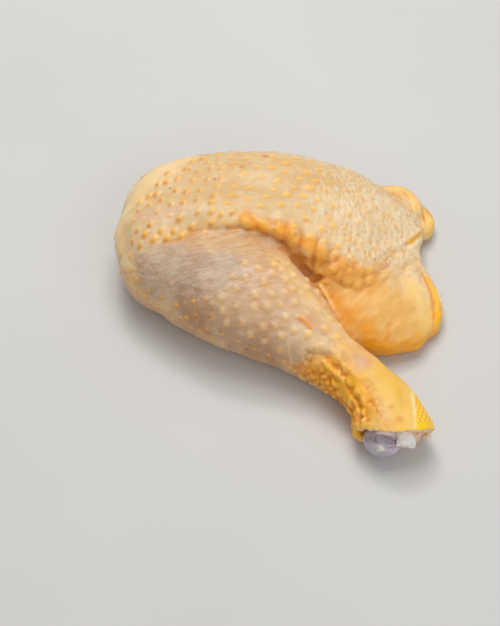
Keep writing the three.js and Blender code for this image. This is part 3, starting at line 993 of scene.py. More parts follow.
@dataclass
class LegSkin:
    """The meat in its skin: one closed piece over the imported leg. Its sizes are in millimetres."""

    studio: Studio
    cell: float = 0.765
    smoothing: int = 12
    thigh_pitch: float = 6.4
    thigh_rows: float = 5.4
    knee_pitch: float = 4.9
    drumstick_pitch: float = 5.9
    far_pitch: float = 6.6
    seed: int = 11
    cut_line: tuple[tuple[float, float], ...] = (
        (28, -60.5), (40, -64), (48, -67), (56, -68), (64, -67.5), (71, -65), (86, -59.5),
    )
    cut_tilt: float = 0.28
    scale_pitch: float = 1.85
    scale_height: float = 0.16
    scales_at: tuple[float, float, float] = (56.0, -68.0, 10.5)
    scales_run: tuple[float, float, float] = (0.2, -0.98, 0.0)  # down the shin
    scales_side: tuple[float, float, float] = (0.98, 0.2, 0.0)
    shin_radius: float = 13.0  # of the shin under the scales
    finger_reach: float = 3.5  # half a finger's width
    finger_height: float = 1.3
    finger_extra: float = 0.9  # what the fingers left of the fold's middle are higher by
    gather_reach: float = 2.1
    crinkle_cell: tuple[float, float, float] = (1.7, 3.4, 2.5)
    fibre_turn: float = math.radians(17.0)  # from X to the run of the muscle's fine wrinkles
    large_lump: tuple[float, float, float] = (3.0, 3.7, 2.9)
    large_lump_height: float = 2.4
    small_lump: tuple[float, float, float] = (2.0, 4.4, 2.9)
    small_lump_height: float = 1.5
    dots_edge: float = -16.0  # left of this X the follicles are small dots in no rows
    row_room: float = 0.75  # share of the spacing that a follicle in a row keeps free
    row_jitter: float = 0.8
    probe_length: float = 70.0  # from the thigh's middle to well outside its skin
    widest_gap: float = 9.0  # more than any spacing
    follicle_reach: float = 5.2  # more than any follicle's own size
    mound_paleness: float = 0.65
    piece: bpy.types.Object = field(init=False)
    skin: Surface = field(init=False)
    sights: Sights = field(init=False)
    finder: KDTree = field(init=False)
    parts: dict[Part, np.ndarray] = field(init=False, default_factory=dict)
    follicles: list[Follicle] = field(init=False, default_factory=list)
    net: np.ndarray = field(init=False)
    fold_gap: np.ndarray = field(init=False)

    # ------------------------------------------------ places

    def look_again(self) -> None:
        """Renews the sight lines after a change of shape."""
        self.sights = Sights(self.studio, self.skin.tree())

    def find_parts(self) -> None:
        """Works out which of the soft forms each point belongs to."""
        points = self.skin.points
        under_fold = fade(points[:, 1], 24.0, 12.0) * fade(points[:, 2], 34.0, 26.0)
        depths = {
            Part.THIGH: THIGH.depth(points) - 0.12 * under_fold,
            Part.DRUMSTICK: DRUMSTICK.depth(points),
            Part.WEB: WEB.depth(points) + 0.9 * fade(points[:, 0], 14.0, 26.0),
        }
        for part, depth in depths.items():
            others = np.min([other for key, other in depths.items() if key is not part], axis=0)
            self.parts[part] = fade(depth - others, -0.10, 0.10)
        across, down = self.studio.places(points)
        lines, levels = np.array(((100.0, 255.0),) + FOLD_LINE_PX).T
        soft = np.interp(across, (140.0, 165.0), (16.0, 2.0))
        above = np.interp(across, lines, levels) - down
        near = fade(np.abs(above), 20.0, 30.0) * fade(across, 281.0, 284.0) * fade(points[:, 2], 16.0, 10.0)
        share = fade(above / soft, 1.0, -1.0)
        self.parts[Part.THIGH] = self.parts[Part.THIGH] * (1 - near) + share * near
        self.parts[Part.DRUMSTICK] = self.parts[Part.DRUMSTICK] * (1 - near) + (1 - share) * near

    def near_px(self, line: PxLine, full: float, none: float) -> np.ndarray:
        """A weight that is 1 within some millimetres of a line of the picture, and 0 past some more."""
        gap, _ = line_distance(self.skin.points, self.sights.line(line))
        return fade(gap, full, none)

    def beyond_cut(self) -> np.ndarray:
        """How far in front of the cut's plane each point lies, in millimetres; the leg is behind it."""
        points = self.skin.points
        xs, ys = np.array(self.cut_line).T
        plane = np.interp(points[:, 0], xs, ys) - points[:, 2] * math.tan(self.cut_tilt)
        far = fade(points[:, 0], 30.0, 26.0) * fade(points[:, 1], -54.0, -50.0)
        return np.where(far > 0, plane - points[:, 1], -99.0)

    def hock(self) -> np.ndarray:
        """A weight that is 1 on the cut face and its rim."""
        lip = self.near_px(LIP_PX, 2.4, 3.6)
        return fade(self.beyond_cut(), -2.6, -3.8) * (1 - lip)

    def cut_face(self) -> np.ndarray:
        """A weight that is 1 on the cut flesh inside the rim."""
        outward = np.array((0.0, -math.cos(self.cut_tilt), -math.sin(self.cut_tilt)))
        return self.hock() * fade(self.skin.normals @ outward, 0.62, 0.40)

    # ------------------------------------------------ relief

    def tips(self) -> np.ndarray:
        """The fingers' tips on the skin."""
        return np.array([self.sights.spot(finger[1]) for finger in FINGERS_PX + GATHERS_PX])

    def shape_fold(self) -> None:
        """Lays the drumstick close under the thigh's fold, and fills the crease beneath the fingers."""
        near, _ = line_distance(self.skin.points, self.tips())
        soft = fade(near, 6.5, 11.0) * (1 - 0.8 * self.parts[Part.DRUMSTICK])
        self.skin.relax(45, 0.5, weight=soft)
        self.look_again()
        points = self.skin.points
        gap, along = line_distance(points, self.sights.line(FOLD_LINE_PX))
        opening = (0.35 + 0.65 * fade(along, 0.9, 0.5)) * fade(along, 0.10, 0.0)
        groove = -1.0 * np.exp(-(gap / 0.9) ** 2) * opening
        lip = 0.9 * np.exp(-((gap - 3.2) / 2.4) ** 2) * opening * self.parts[Part.THIGH]
        beside, _ = line_distance(points, self.sights.line(CREASE_PX))
        filling = 2.6 * np.exp(-((beside - 7.0) / 5.0) ** 2) * fade(points[:, 2], 22.0, 16.0)
        crease = -1.5 * np.exp(-(beside / 1.5) ** 2)
        off_drumstick = 1.0 - self.parts[Part.DRUMSTICK]
        self.skin.push(groove + lip + filling * off_drumstick * (1 - fade(points[:, 2], 30.0, 26.0)) + crease)
        self.skin.relax(4, 0.5, weight=fade(beside, 9.0, 13.0))
        self.look_again()

    def shape_fingers(self) -> None:
        """Raises the round fingers of the gathered fold and the smaller bumps under them."""
        points = self.skin.points
        raised = np.zeros(len(points))
        for finger in FINGERS_PX:
            gap, along = line_distance(points, self.sights.line(finger))
            gap = gap / (0.66 + 0.34 * along)
            high = self.finger_height + self.finger_extra * fade(points[:, 0], 22.0, 2.0)
            dome = np.maximum(0.0, 1.0 - (gap / self.finger_reach) ** 2) ** 0.7
            raised = np.maximum(raised, high * dome * fade(along, 0.95, -0.1))
        for index, gather in enumerate(GATHERS_PX):
            gap, along = line_distance(points, self.sights.line(gather))
            wide = self.gather_reach + 0.4 * (index * 5 % 4)
            dome = np.maximum(0.0, 1.0 - (gap / wide) ** 2) ** 0.7
            raised = np.maximum(raised, 0.5 * wide * dome * fade(along, 0.7, -0.3))
        near, _ = line_distance(points, self.tips())
        soft = self.skin.noise(2.6, (1.0, 1.0, 1.0), 53.0) * self.near_px(CREASE_PX, 6.0, 9.0) * 0.8
        off_drumstick = 1.0 - self.parts[Part.DRUMSTICK]
        self.skin.push(((raised - 0.45) * fade(near, 4.0, 11.0) + soft) * off_drumstick)

    def unevenness(self) -> None:
        """Makes the broad swells that keep the soft forms from looking turned."""
        points = self.skin.points
        broad = self.skin.noise(13.0, shift=9.0) * 0.45 + self.skin.noise(6.0, shift=3.0) * 0.14
        self.skin.push(broad * fade(points[:, 2], 5.0, 1.0) * (1 - self.hock()))

    def network(self, size: tuple[float, float, float], where: np.ndarray, bend: float = 0.8,
                steep: float = 1.9) -> np.ndarray:
        """A net of fine ridges between round cells.

        Args:
            size: the cells' size along X, Y and Z, in millimetres.
            where: a weight, worked out only where it is above 0.
            bend: how far a slow noise bends the net, in millimetres.
            steep: how steeply the ridges fall into the cells.

        Returns:
            Heights that are 1 on the ridges and 0 in the cells' middles.
        """
        points = self.skin.points
        height = np.zeros(len(points))
        for index in np.nonzero(where > 0.01)[0]:
            at = Vector(points[index])
            at = at + noise.noise_vector(at * 0.22) * bend
            near = noise.voronoi(Vector((at.x / size[0], at.y / size[1], at.z / size[2])))[0]
            height[index] = 1.0 - min(1.0, (near[1] - near[0]) * steep)
        return height * where

    def crinkle(self) -> None:
        """Crinkles the loose skin of the thigh, the web and the drumstick's flanks."""
        points = self.skin.points
        off_floor = fade(points[:, 2], 4.0, 1.0)
        lobe = self.near_px(LOBE_PX, 5.0, 8.0)
        thigh = self.parts[Part.THIGH] * fade(points[:, 0], 46.0, 14.0) * off_floor * (1 - 0.9 * lobe)
        below = self.parts[Part.WEB] * self.near_px(WEB_TOP_PX, 5.0, 18.0)
        self.net = self.network(self.crinkle_cell, np.maximum(thigh, below * 0.8), 1.3)
        streaks = 1.0 - np.abs(self.skin.noise(3.0, (0.7, 2.6, 1.4))) * 2.0
        cosine, sine = math.cos(self.fibre_turn), math.sin(self.fibre_turn)
        along = points[:, 0] * cosine + points[:, 1] * sine
        across = points[:, 1] * cosine - points[:, 0] * sine
        fibres = soft_noise(np.stack([along / 11.0, across / 1.9, points[:, 2] / 2.1], axis=1))
        flank = self.parts[Part.DRUMSTICK] * fade(points[:, 1], -32.0, -40.0) * off_floor
        muscle = 0.45 + 0.55 * self.near_px(MUSCLE_PX, 12.0, 24.0)
        along, across = points[:, 0] + points[:, 1], points[:, 1] - points[:, 0]
        pulled = soft_noise(np.stack([along / 17.0, across / 2.3, points[:, 2] / 3.0], axis=1))
        grain = self.skin.noise(4.0, (1.6, 1.0, 0.8), 23.0) * 0.20 + pulled * 0.15
        grain = grain * self.parts[Part.WEB] * off_floor
        wrinkles = self.net * 0.18 + streaks * 0.20 * thigh + fibres * 0.24 * flank * muscle
        self.skin.push((wrinkles + grain) * (1 - self.hock()))

    def lumps(self, size: tuple[float, float, float], where: np.ndarray, bend: float,
              steep: float) -> np.ndarray:
        """Rounded lumps, one in each cell of a net.

        Args:
            size: the cells' size along X, Y and Z, in millimetres.
            where: a weight; the lumps are worked out wherever it is above 0.
            bend: how far a slow noise bends the net, in millimetres.
            steep: how steeply the lumps rise.

        Returns:
            Heights from -0.6 between the lumps to 0.4 on them.
        """
        cells = 1.0 - self.network(size, np.where(where > 0.01, 1.0, 0.0), bend, steep)
        return np.sin(np.clip(cells, 0.0, 1.0) * math.pi / 2) - 0.6

    def lump_shin(self) -> None:
        """Gathers the skin of the shin into soft rounded lumps, larger on its lower side."""
        lower = self.near_px(SHIN_BELOW_PX, 4.0, 8.5)
        upper = self.near_px(SHIN_ABOVE_PX, 4.0, 11.0)
        shin = self.parts[Part.DRUMSTICK] * (1 - self.hock())
        large = self.lumps(self.large_lump, lower * shin, 1.3, 1.4) * self.large_lump_height
        small = self.lumps(self.small_lump, upper * shin, 1.4, 1.6) * self.small_lump_height
        uneven = 0.75 + 0.5 * self.skin.noise(5.0, shift=37.0)
        self.skin.push((large * lower + small * upper * (1 - lower)) * shin * uneven)
        self.skin.relax(1, 0.6, weight=np.maximum(lower, upper) * shin)

    def lay_scales(self) -> None:
        """Sets the rows of small scales on the outer side of the shin's end, and raises them a little."""
        points = self.skin.points
        offset = points - np.array(self.scales_at)
        along = offset @ np.array(self.scales_run)
        turn = np.arctan2(offset[:, 2], offset @ np.array(self.scales_side)) * self.shin_radius
        strip, _ = line_distance(points, self.sights.line(STRIP_PX))
        where = self.near_px(SCALES_PX, 5.6, 6.4) * (1 - self.hock())
        where = where * fade(strip, 1.25, 0.8) * fade(points[:, 0], 64.0, 62.5)
        self.skin.push(rows_of_rounds(along, turn, self.scale_pitch) * self.scale_height * where)
        self.skin.store("scale_along", along)
        self.skin.store("scale_turn", turn)
        self.skin.store("scale_weight", where)

    def roughen_cut(self) -> None:
        """Makes the cut flesh fibrous and its rim uneven."""
        face = self.cut_face()
        strands = self.skin.noise(2.2, (1.6, 1.0, 0.7), 41.0) * 0.8 + self.skin.noise(5.0, shift=43.0) * 0.7
        rim = self.hock() * (1 - face)
        self.skin.push(strands * face + self.skin.noise(2.8, shift=47.0) * 0.28 * rim)

    # ------------------------------------------------ follicles

    def thigh_lattice(self) -> list[np.ndarray]:
        """Places in staggered rows beside the fold and over the thigh.

        Returns:
            The places on the skin.
        """
        samples = THIGH.samples()
        angles = np.radians(np.arange(-72.0, 128.0, 2.0))
        found: list[np.ndarray] = []
        rng = np.random.default_rng(self.seed)
        for column in range(-18, 34):
            start = 11.0 + column * self.thigh_pitch * 0.5 * (0.90 if column > 0 else 1.0)
            # rows lean right on the right of the thigh's middle, and left on the left of it
            right, left = (start - 5.0) / 20.0, -(start + 8.0) / 20.0
            skew = 0.30 * (min(max(right, 0.0), 1.0) - min(max(left, 0.0), 1.0))
            ring: list[np.ndarray] = []
            travelled = 0.0
            for angle in angles:
                across = start + skew * travelled
                centre = np.array([np.interp(across, samples[:, 0], samples[:, axis]) for axis in range(3)])
                centre[0] = across
                out = np.array((0.0, math.sin(angle), math.cos(angle)))
                hit = self.sights.tree.ray_cast(to_frame(centre + out * self.probe_length), Vector(-out))[0]
                if hit is None:
                    break
                place = to_layout(hit)
                if ring:
                    travelled += min(np.linalg.norm(place - ring[-1]), 3.0)
                elif not self.on_thigh(place):
                    continue
                ring.append(place)
            if len(ring) < 6:
                continue
            line = np.array(ring)
            lengths = np.concatenate(([0.0], np.cumsum(np.linalg.norm(np.diff(line, axis=0), axis=1))))
            row = 0.6 + (self.thigh_rows if column % 2 else 0.0)
            while row < lengths[-1]:
                at = row + rng.uniform(-self.row_jitter, self.row_jitter)
                found.append(np.array([np.interp(at, lengths, line[:, axis]) for axis in range(3)]))
                row += self.thigh_rows * 2
        return found

    def on_thigh(self, place: np.ndarray) -> bool:
        """Whether a place on the skin is past the fold, on the thigh."""
        return bool(self.parts[Part.THIGH][self.finder.find(place)[1]] > 0.5)

    def bare(self) -> np.ndarray:
        """A weight that is 1 where no feather grows."""
        points = self.skin.points
        muscle = self.near_px(BARE_MUSCLE_PX, 13.5, 15.0) * self.parts[Part.DRUMSTICK]
        knee = self.near_px(KNEE_PX, 7.0, 9.0)
        fingers, _ = line_distance(points, self.tips())
        under = self.near_px(CREASE_PX, 5.0, 6.0)
        scrap = self.near_px(SCRAP_PX, 2.2, 3.0)
        flats = np.maximum(fade(points[:, 2], 1.2, 2.2), scrap)
        shin = fade(points[:, 1], -33.0, -31.0) * fade(points[:, 0], 18.0, 14.0)
        hip = fade(points[:, 0], 68.0, 62.0)
        thin = self.near_px(THIN_SKIN_PX, 3.0, 5.0)
        tips = fade(fingers, 3.0, 4.0)
        return np.max([muscle, knee, flats, shin, self.parts[Part.WEB], hip, under, thin, tips], axis=0)

    def kind_at(self, place: np.ndarray, index: int, rng: np.random.Generator) -> Follicle:
        """The follicle that grows at a place.

        Args:
            place: the place on the skin.
            index: the skin's nearest point.
            rng: draws its size and colour.

        Returns:
            The follicle.
        """
        jitter = rng.normal(0.0, 0.14)
        size = rng.uniform(0.8, 1.18)
        if self.parts[Part.DRUMSTICK][index] > 0.5:
            low = float(fade(np.array(place[2]), 18.0, 25.0))
            left = float(fade(np.array(place[0]), -22.0, -12.0))
            is_dot = max(low, left) > 0.5 or place[0] < self.dots_edge
            growth = Growth.DOT if is_dot else Growth.MOUND
            warmth = float(np.clip((0.55 if is_dot else 0.1) + jitter, 0.0, 1.0))
            bold = rng.uniform(0.5, 1.0) if is_dot else rng.uniform(0.4, 0.75)
            return Follicle(place, growth, size, warmth, bold)
        knee = float(fade(np.array(place[0]), -30.0, 6.0))
        fold = float(fade(self.fold_gap[index], 2.0, 13.0))
        warmth = float(np.clip(0.15 + 0.7 * max(knee, fold) + jitter, 0.0, 1.0))
        far = float(fade(np.array(place[0]), 48.0, 22.0))
        bold = (0.92 + 0.08 * max(knee, fold)) * (1.0 - 0.50 * far) * rng.uniform(0.8, 1.0)
        growth = Growth.BUMP if max(knee, fold * 0.8) > 0.42 else Growth.SPOT
        return Follicle(place, growth, size, warmth, bold)

    def grow_follicles(self) -> None:
        """Sets a follicle wherever one grows: rows on the thigh, an even spread elsewhere."""
        self.finder = self.skin.finder()
        points = self.skin.points
        bare = self.bare() > 0.5
        self.fold_gap, _ = line_distance(points, self.sights.line(FOLD_LINE_PX))
        spacing = np.where(self.parts[Part.THIGH] > 0.5, self.far_pitch, self.drumstick_pitch)
        knee = fade(points[:, 0], -14.0, -4.0) > 0.5
        spacing = np.where(knee, self.knee_pitch, spacing)
        gap = np.full(len(points), 1e3)
        rng = np.random.default_rng(self.seed + 1)

        def keep(place: np.ndarray) -> None:
            """Grows a follicle at a place and keeps others away from it."""
            index = self.finder.find(place)[1]
            here = self.finder.find_range(place, self.widest_gap)
            near = np.array([item[1] for item in here])
            gap[near] = np.minimum(gap[near], [item[2] for item in here])
            self.follicles.append(self.kind_at(place, index, rng))

        for place in THIGH_FOLLICLES_PX + DRUMSTICK_FOLLICLES_PX:
            keep(self.sights.spot(place))
        for place in self.thigh_lattice():
            index = self.finder.find(place)[1]
            if bare[index] or gap[index] < self.row_room * spacing[index] or place[0] < self.dots_edge:
                continue
            keep(place)
        while True:
            room = ~bare & (gap > spacing)
            if not room.any():
                break
            choices = np.nonzero(room)[0]
            nearest = choices[gap[choices].argsort()[:6]]
            keep(points[rng.choice(nearest)].copy())
        log.info("follicles: %d", len(self.follicles))

    def raise_follicles(self) -> None:
        """Shapes every follicle's relief and stores its coloured cap for the material."""
        points, normals = self.skin.points, self.skin.normals
        amount = np.zeros(len(points))
        cap = np.full(len(points), 4.0)
        low, warmth, bold, pale = (np.zeros(len(points)) for _ in range(4))
        for follicle in self.follicles:
            here = self.finder.find_range(follicle.at, self.follicle_reach)
            near = np.array([item[1] for item in here])
            if not len(near):
                continue
            form, size = follicle.growth.value, follicle.size
            out = normals[near[np.argmin([item[2] for item in here])]]
            down = LEAN if follicle.growth is Growth.BUMP else DOWNHILL
            down = down - (down @ out) * out
            down /= max(np.linalg.norm(down), 0.2)
            side = np.cross(out, down)
            offset = points[near] - follicle.at
            run, across = offset @ down, offset @ side
            reach = np.hypot(run / form.along, across / form.across) / size
            dome = np.maximum(0.0, 1.0 - reach ** 2) ** 1.5
            lean = 1.0 + 0.25 * np.clip(run / (form.along * size), -1.0, 1.0)
            hole = np.exp(-((run - form.cap_down * 0.6) ** 2 + across ** 2) / 0.36)
            lift = (form.high * size * dome * lean - form.hole * hole) * (0.55 + 0.45 * follicle.bold)
            amount[near] = np.where(np.abs(lift) > np.abs(amount[near]), lift, amount[near])
            run = run - form.cap_down * size
            reach = np.hypot(run / form.cap_along, across / form.cap_across) / size
            nearer = reach < cap[near]
            mine = near[nearer]
            cap[mine] = reach[nearer]
            # how far down its cap a point lies; the material paints the lower side darker, partly as painted
            # shade
            low[mine] = np.clip(run[nearer] / (form.cap_along * size), -1.5, 1.5)
            warmth[mine] = follicle.warmth
            bold[mine] = follicle.bold
            pale[mine] = self.mound_paleness if follicle.growth is Growth.MOUND else 0.0
        self.skin.push(amount)
        stored = {"cap": cap, "cap_low": low, "cap_warmth": warmth, "cap_bold": bold, "cap_pale": pale}
        for name, values in stored.items():
            self.skin.store(name, values)

    def seat(self) -> None:
        """Keeps the skin from sinking below the imported leg's lowest point, on the floor."""
        low = np.array(CAD_BOX[0]) / MM + LAYOUT_ORIGIN
        self.skin.points[:, 2] = np.maximum(self.skin.points[:, 2], low[2])
        self.skin.write()

    def build(self) -> bpy.types.Object:
        """Makes the skin.

        Returns:
            The finished piece.
        """
        noise.seed_set(self.seed)  # the vector noise is drawn from the clock without it
        self.piece = merged_copy("leg", "skin_and_meat")
        even_out(self.piece, self.cell)
        self.skin = Surface(self.piece)
        self.skin.relax(self.smoothing, 0.55, 0.56)
        self.skin.relax(1, 0.5)
        self.look_again()
        self.find_parts()
        self.shape_fold()
        self.unevenness()
        self.shape_fingers()
        self.skin.lay(self.sights, RIDGES, self.parts)
        self.lump_shin()
        self.roughen_cut()
        self.look_again()
        self.crinkle()
        self.lay_scales()
        self.grow_follicles()
        self.raise_follicles()
        self.seat()
        self.look_again()
        SkinPaint(self).paint()
        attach(self.piece, "root")
        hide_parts("leg")
        log.info("skin_and_meat: %d faces", len(self.piece.data.polygons))
        return self.piece


# ---------------------------------------------------------------- colours of the skin


WASHES = (
    # thigh
    Wash((250, 212, 146), ((131, 190), (150, 174), (185, 158)), 7, 14, Part.THIGH),
    # pale fat of the knee's left edge, made paler as painted light on the side the lamps leave dim
    Wash((255, 218, 154), ((117, 238), (125, 212), (146, 186)), 5, 13, Part.ANY, 0.9),
    Wash((216, 178, 122), ((185, 196), (240, 176), (290, 176)), 12, 18, Part.THIGH, 0.5),
    Wash((222, 182, 116), ((205, 154), (250, 155), (300, 161)), 4, 8, Part.THIGH, 0.7),
    Wash((238, 208, 162), ((330, 225), (380, 215), (400, 235)), 14, 14, Part.THIGH, 0.9),
    Wash((236, 186, 104), ((158, 238), (185, 234), (215, 222), (248, 221)), 2, 8, Part.THIGH, 0.8),
    Wash((246, 156, 36), FRINGE_PX, 4, 9, Part.ANY, 0.95),
    Wash((236, 150, 44), ((318, 262), (336, 274), (356, 284), (372, 284)), 4, 7),
    # orange of the hollow under the fingers, partly the skin's own, partly painted shade
    Wash((226, 160, 84), ((288, 246), (300, 258), (318, 272)), 4, 5, Part.ANY, 0.9),
    # painted shade: a dark line in the crease beside the drumstick
    Wash((150, 86, 34), CREASE_PX, 0.3, 1.5, Part.ANY, 0.9),
    Wash((255, 218, 152), ((121, 244), (124, 258), (133, 276)), 4, 9, Part.ANY, 0.95),
    Wash((255, 202, 120), ((133, 280), (146, 292), (160, 304)), 4, 8, Part.ANY, 0.9),
    # drumstick
    Wash((186, 154, 130), ((160, 274), (192, 272), (224, 264)), 12, 14, Part.DRUMSTICK),
    # darker tan under the thigh's fold: painted shade where the fold overhangs the drumstick
    Wash((196, 150, 98), ((196, 240), (230, 238), (262, 243)), 4, 9, Part.DRUMSTICK, 0.85),
    Wash((208, 166, 114), ((222, 238), (250, 246), (272, 258)), 6, 12, Part.DRUMSTICK, 0.8),
    Wash((238, 194, 124), ((285, 262), (305, 292), (330, 318), (352, 340)), 5, 9, Part.DRUMSTICK, 0.9),
    # browner along the drumstick's lower side: its own tone, deepened as painted shade on the side away from
    # the lights
    Wash((178, 130, 94), ((190, 314), (225, 332), (255, 350), (290, 366)), 8, 14, Part.DRUMSTICK, 0.9),
    Wash((240, 212, 168), ((298, 326), (314, 338)), 4, 8, Part.DRUMSTICK, 0.8),
    Wash((246, 132, 60), ((299, 318), (305, 321), (311, 327)), 1.0, 0.9, Part.DRUMSTICK),
    # shin
    Wash((232, 174, 96), ((290, 366), (302, 374), (316, 384)), 3, 9, Part.DRUMSTICK, 0.8),
    Wash((250, 176, 34), ((326, 368), (345, 384), (362, 412)), 8, 14, Part.DRUMSTICK),
    Wash((246, 158, 8), ((314, 376), (332, 392), (347, 410), (357, 432)), 5, 8, Part.DRUMSTICK),
    Wash((234, 150, 26), ((366, 402), (372, 406), (378, 413)), 2, 5, Part.DRUMSTICK, 0.6),
    Wash((240, 186, 110), ((340, 342), (362, 352), (392, 372)), 4, 8, Part.DRUMSTICK),
    Wash((226, 168, 128), ((357, 357), (368, 362), (374, 369)), 2, 4, Part.DRUMSTICK, 0.7),
    Wash((243, 192, 84), ((388, 376), (400, 396), (404, 428)), 8, 8, Part.DRUMSTICK),
    Wash((236, 176, 74), ((364, 425), (372, 419), (384, 425)), 4, 5, Part.DRUMSTICK, 0.9),
    Wash((246, 170, 40), LIP_PX, 3.0, 1.5, Part.ANY, 0.95),
    Wash((255, 206, 14), ((422, 388), (424, 398), (426, 412), (427, 429)), 5.2, 1.4, Part.DRUMSTICK),
    Wash((246, 196, 96), ((405, 374), (407, 396), (409, 428)), 2.2, 1.4, Part.DRUMSTICK, 0.9),
    Wash((255, 240, 188), STRIP_PX, 0.5, 1.7, Part.DRUMSTICK, 0.85),
    Wash((186, 142, 112), ((294, 350), (295, 360)), 1.4, 2.4, Part.DRUMSTICK, 0.8),
    Wash((192, 150, 104), ((307, 352), (316, 351), (327, 353)), 1.6, 3.0, Part.DRUMSTICK, 0.8),
    Wash((238, 212, 178), ((288, 343), (289.5, 354), (292, 364)), 0.2, 0.8, Part.DRUMSTICK, 0.6),
    Wash((238, 212, 178), ((302, 346), (303, 356), (305, 365)), 0.2, 0.9, Part.DRUMSTICK, 0.6),
    Wash((240, 210, 168), ((304, 346), (317, 345), (331, 348), (339, 357)), 0.5, 2.0, Part.DRUMSTICK, 0.5),
    # web
    Wash((246, 212, 166), ((395, 255), (410, 262), (420, 290), (425, 312)), 7, 14, Part.WEB, 0.8),
    Wash((236, 176, 88), ((356, 290), (380, 310), (410, 316)), 12, 14, Part.WEB, 0.7),
    # deeper orange beside the drumstick: the web's own colour, deepened as painted shade cast by the
    # drumstick
    Wash((238, 160, 48), ((338, 305), (352, 325), (372, 340)), 5, 14, Part.WEB, 0.95),
    # the web's own deep orange, brightened as a painted glow of light through the thin skin
    Wash((255, 170, 0), ((366, 354), (392, 358), (420, 350), (436, 338)), 8, 14, Part.WEB),
    Wash((232, 138, 20), ((389, 324), (387.5, 338)), 1.0, 3.0, Part.WEB, 0.6),
    Wash((255, 212, 124), ((414, 288), (422, 304), (426, 322)), 5, 8, Part.WEB, 0.8),
    # folds beside the crease
    Wash((255, 222, 150), OUTER_FOLD_PX, 0.3, 1.0, Part.ANY, 0.8),
    Wash((255, 214, 140), INNER_FOLD_PX, 0.3, 0.9, Part.ANY, 0.8),
    # painted shade in the valley between the two folds
    Wash((214, 128, 44), FOLD_VALLEY_PX, 0.2, 0.9, Part.ANY, 0.8),
    # rim of the web
    Wash((252, 186, 30), ((427, 279), (434, 291), (438, 304), (439, 330)), 1.5, 1.2),
    Wash((254, 230, 172), ((437, 290), (442, 304), (444, 318)), 0.9, 1.2, Part.ANY, 0.9),
    # painted shade in the groove behind the rim
    Wash((222, 136, 40), RIM_GROOVE_PX, 0.3, 0.8, Part.ANY, 0.8),
    # lobe, tag and the notch at the hip
    Wash((244, 198, 112), ((386, 188), (404, 190), (418, 206)), 3, 4),
    Wash((216, 182, 134), ((390, 197), (402, 203)), 2.5, 4),
    Wash((255, 206, 106), ((430, 216), (430, 236)), 5, 4),
    Wash((246, 182, 44), ((409, 243), (420, 234)), 1.0, 1.2),
    Wash((226, 132, 62), ((427, 210), (433, 214)), 1.2, 2),
    Wash((205, 130, 96), ((376, 274), (388, 262)), 1.2, 2.4, Part.ANY, 0.6),
    Wash((214, 150, 110), ((419, 268), (420, 282)), 0.6, 1.4, Part.ANY, 0.6),
    # painted shade in the notch
    Wash((216, 140, 60), ((402, 255), (407, 251)), 0.6, 1.4, Part.ANY, 0.7),
)

# Small marks: a shade, a place, a radius in millimetres and how strong it is.
SPOTS = tuple(
    Wash(shade, (place,), radius * 0.78, radius * 0.95, Part.ANY, strength)
    for place, radius, shade, strength in (
        ((242, 166.5), 1.4, (204, 124, 22), 0.8),
        ((250.5, 162.5), 1.2, (206, 132, 30), 0.7),
        ((266, 156.5), 1.7, (200, 122, 34), 0.7),
        ((244, 159.5), 1.3, (200, 140, 50), 0.6),
        ((189, 169), 0.8, (96, 62, 40), 0.8),
        ((170, 188.5), 0.9, (128, 74, 40), 0.8),
        ((167, 182), 0.9, (190, 120, 46), 0.7),
        ((214.5, 179), 0.8, (170, 72, 52), 0.7),
        ((207, 179.5), 1.1, (214, 120, 64), 0.5),
        ((339.5, 186), 1.7, (168, 112, 62), 0.8),
        ((336.5, 178), 0.7, (206, 104, 70), 0.6),
        ((377.5, 208), 0.7, (196, 136, 70), 0.6),
        ((402, 210), 0.8, (196, 140, 88), 0.6),
        ((241, 323), 1.5, (196, 118, 76), 0.7),
        ((246, 349), 1.2, (170, 100, 56), 0.7),
        ((281, 350), 1.3, (168, 106, 70), 0.7),
        ((251, 355), 1.0, (176, 112, 66), 0.6),
        ((271, 355.5), 1.1, (172, 106, 68), 0.6),
        ((264, 337.5), 1.0, (180, 116, 74), 0.5),
        ((256, 325.5), 1.1, (190, 130, 92), 0.6),
        ((220.5, 331.5), 1.2, (184, 112, 52), 0.7),
        ((208.5, 332.4), 1.0, (190, 122, 62), 0.6),
        ((211.8, 317.3), 1.3, (168, 96, 40), 0.8),
        ((196, 316), 1.1, (190, 116, 48), 0.7),
        ((179, 318.6), 1.3, (180, 110, 46), 0.7),
        ((177, 305), 1.3, (178, 112, 56), 0.7),
        ((160.3, 298.5), 1.3, (196, 124, 52), 0.6),
        ((234, 303), 1.0, (176, 116, 78), 0.6),
        ((245, 338), 0.9, (184, 124, 82), 0.5),
        ((229, 346), 1.0, (180, 112, 60), 0.6),
        ((147.5, 234), 1.3, (206, 130, 48), 0.7),
        ((278, 249), 1.0, (222, 124, 70), 0.6),
        ((400, 419), 1.6, (222, 140, 30), 0.5),
        ((391, 407), 1.2, (220, 136, 24), 0.6),
    )
)

# The cut flesh beside the bone and the tendon.
CUT_WASHES = (
    Wash((214, 208, 216), ((372, 434), (390, 434), (412, 434)), 1.2, 1.6),
    Wash((250, 222, 202), ((414, 440), (424, 438), (434, 432)), 4, 3),
    Wash((214, 150, 132), ((416, 444), (424, 440)), 0.7, 1.0, Part.ANY, 0.8),
    Wash((206, 60, 40), ((417, 433), (422.5, 432.6)), 0.5, 0.8, Part.ANY, 0.9),
    Wash((226, 214, 190), ((357, 439), (364, 443)), 1.5, 2.0),
)


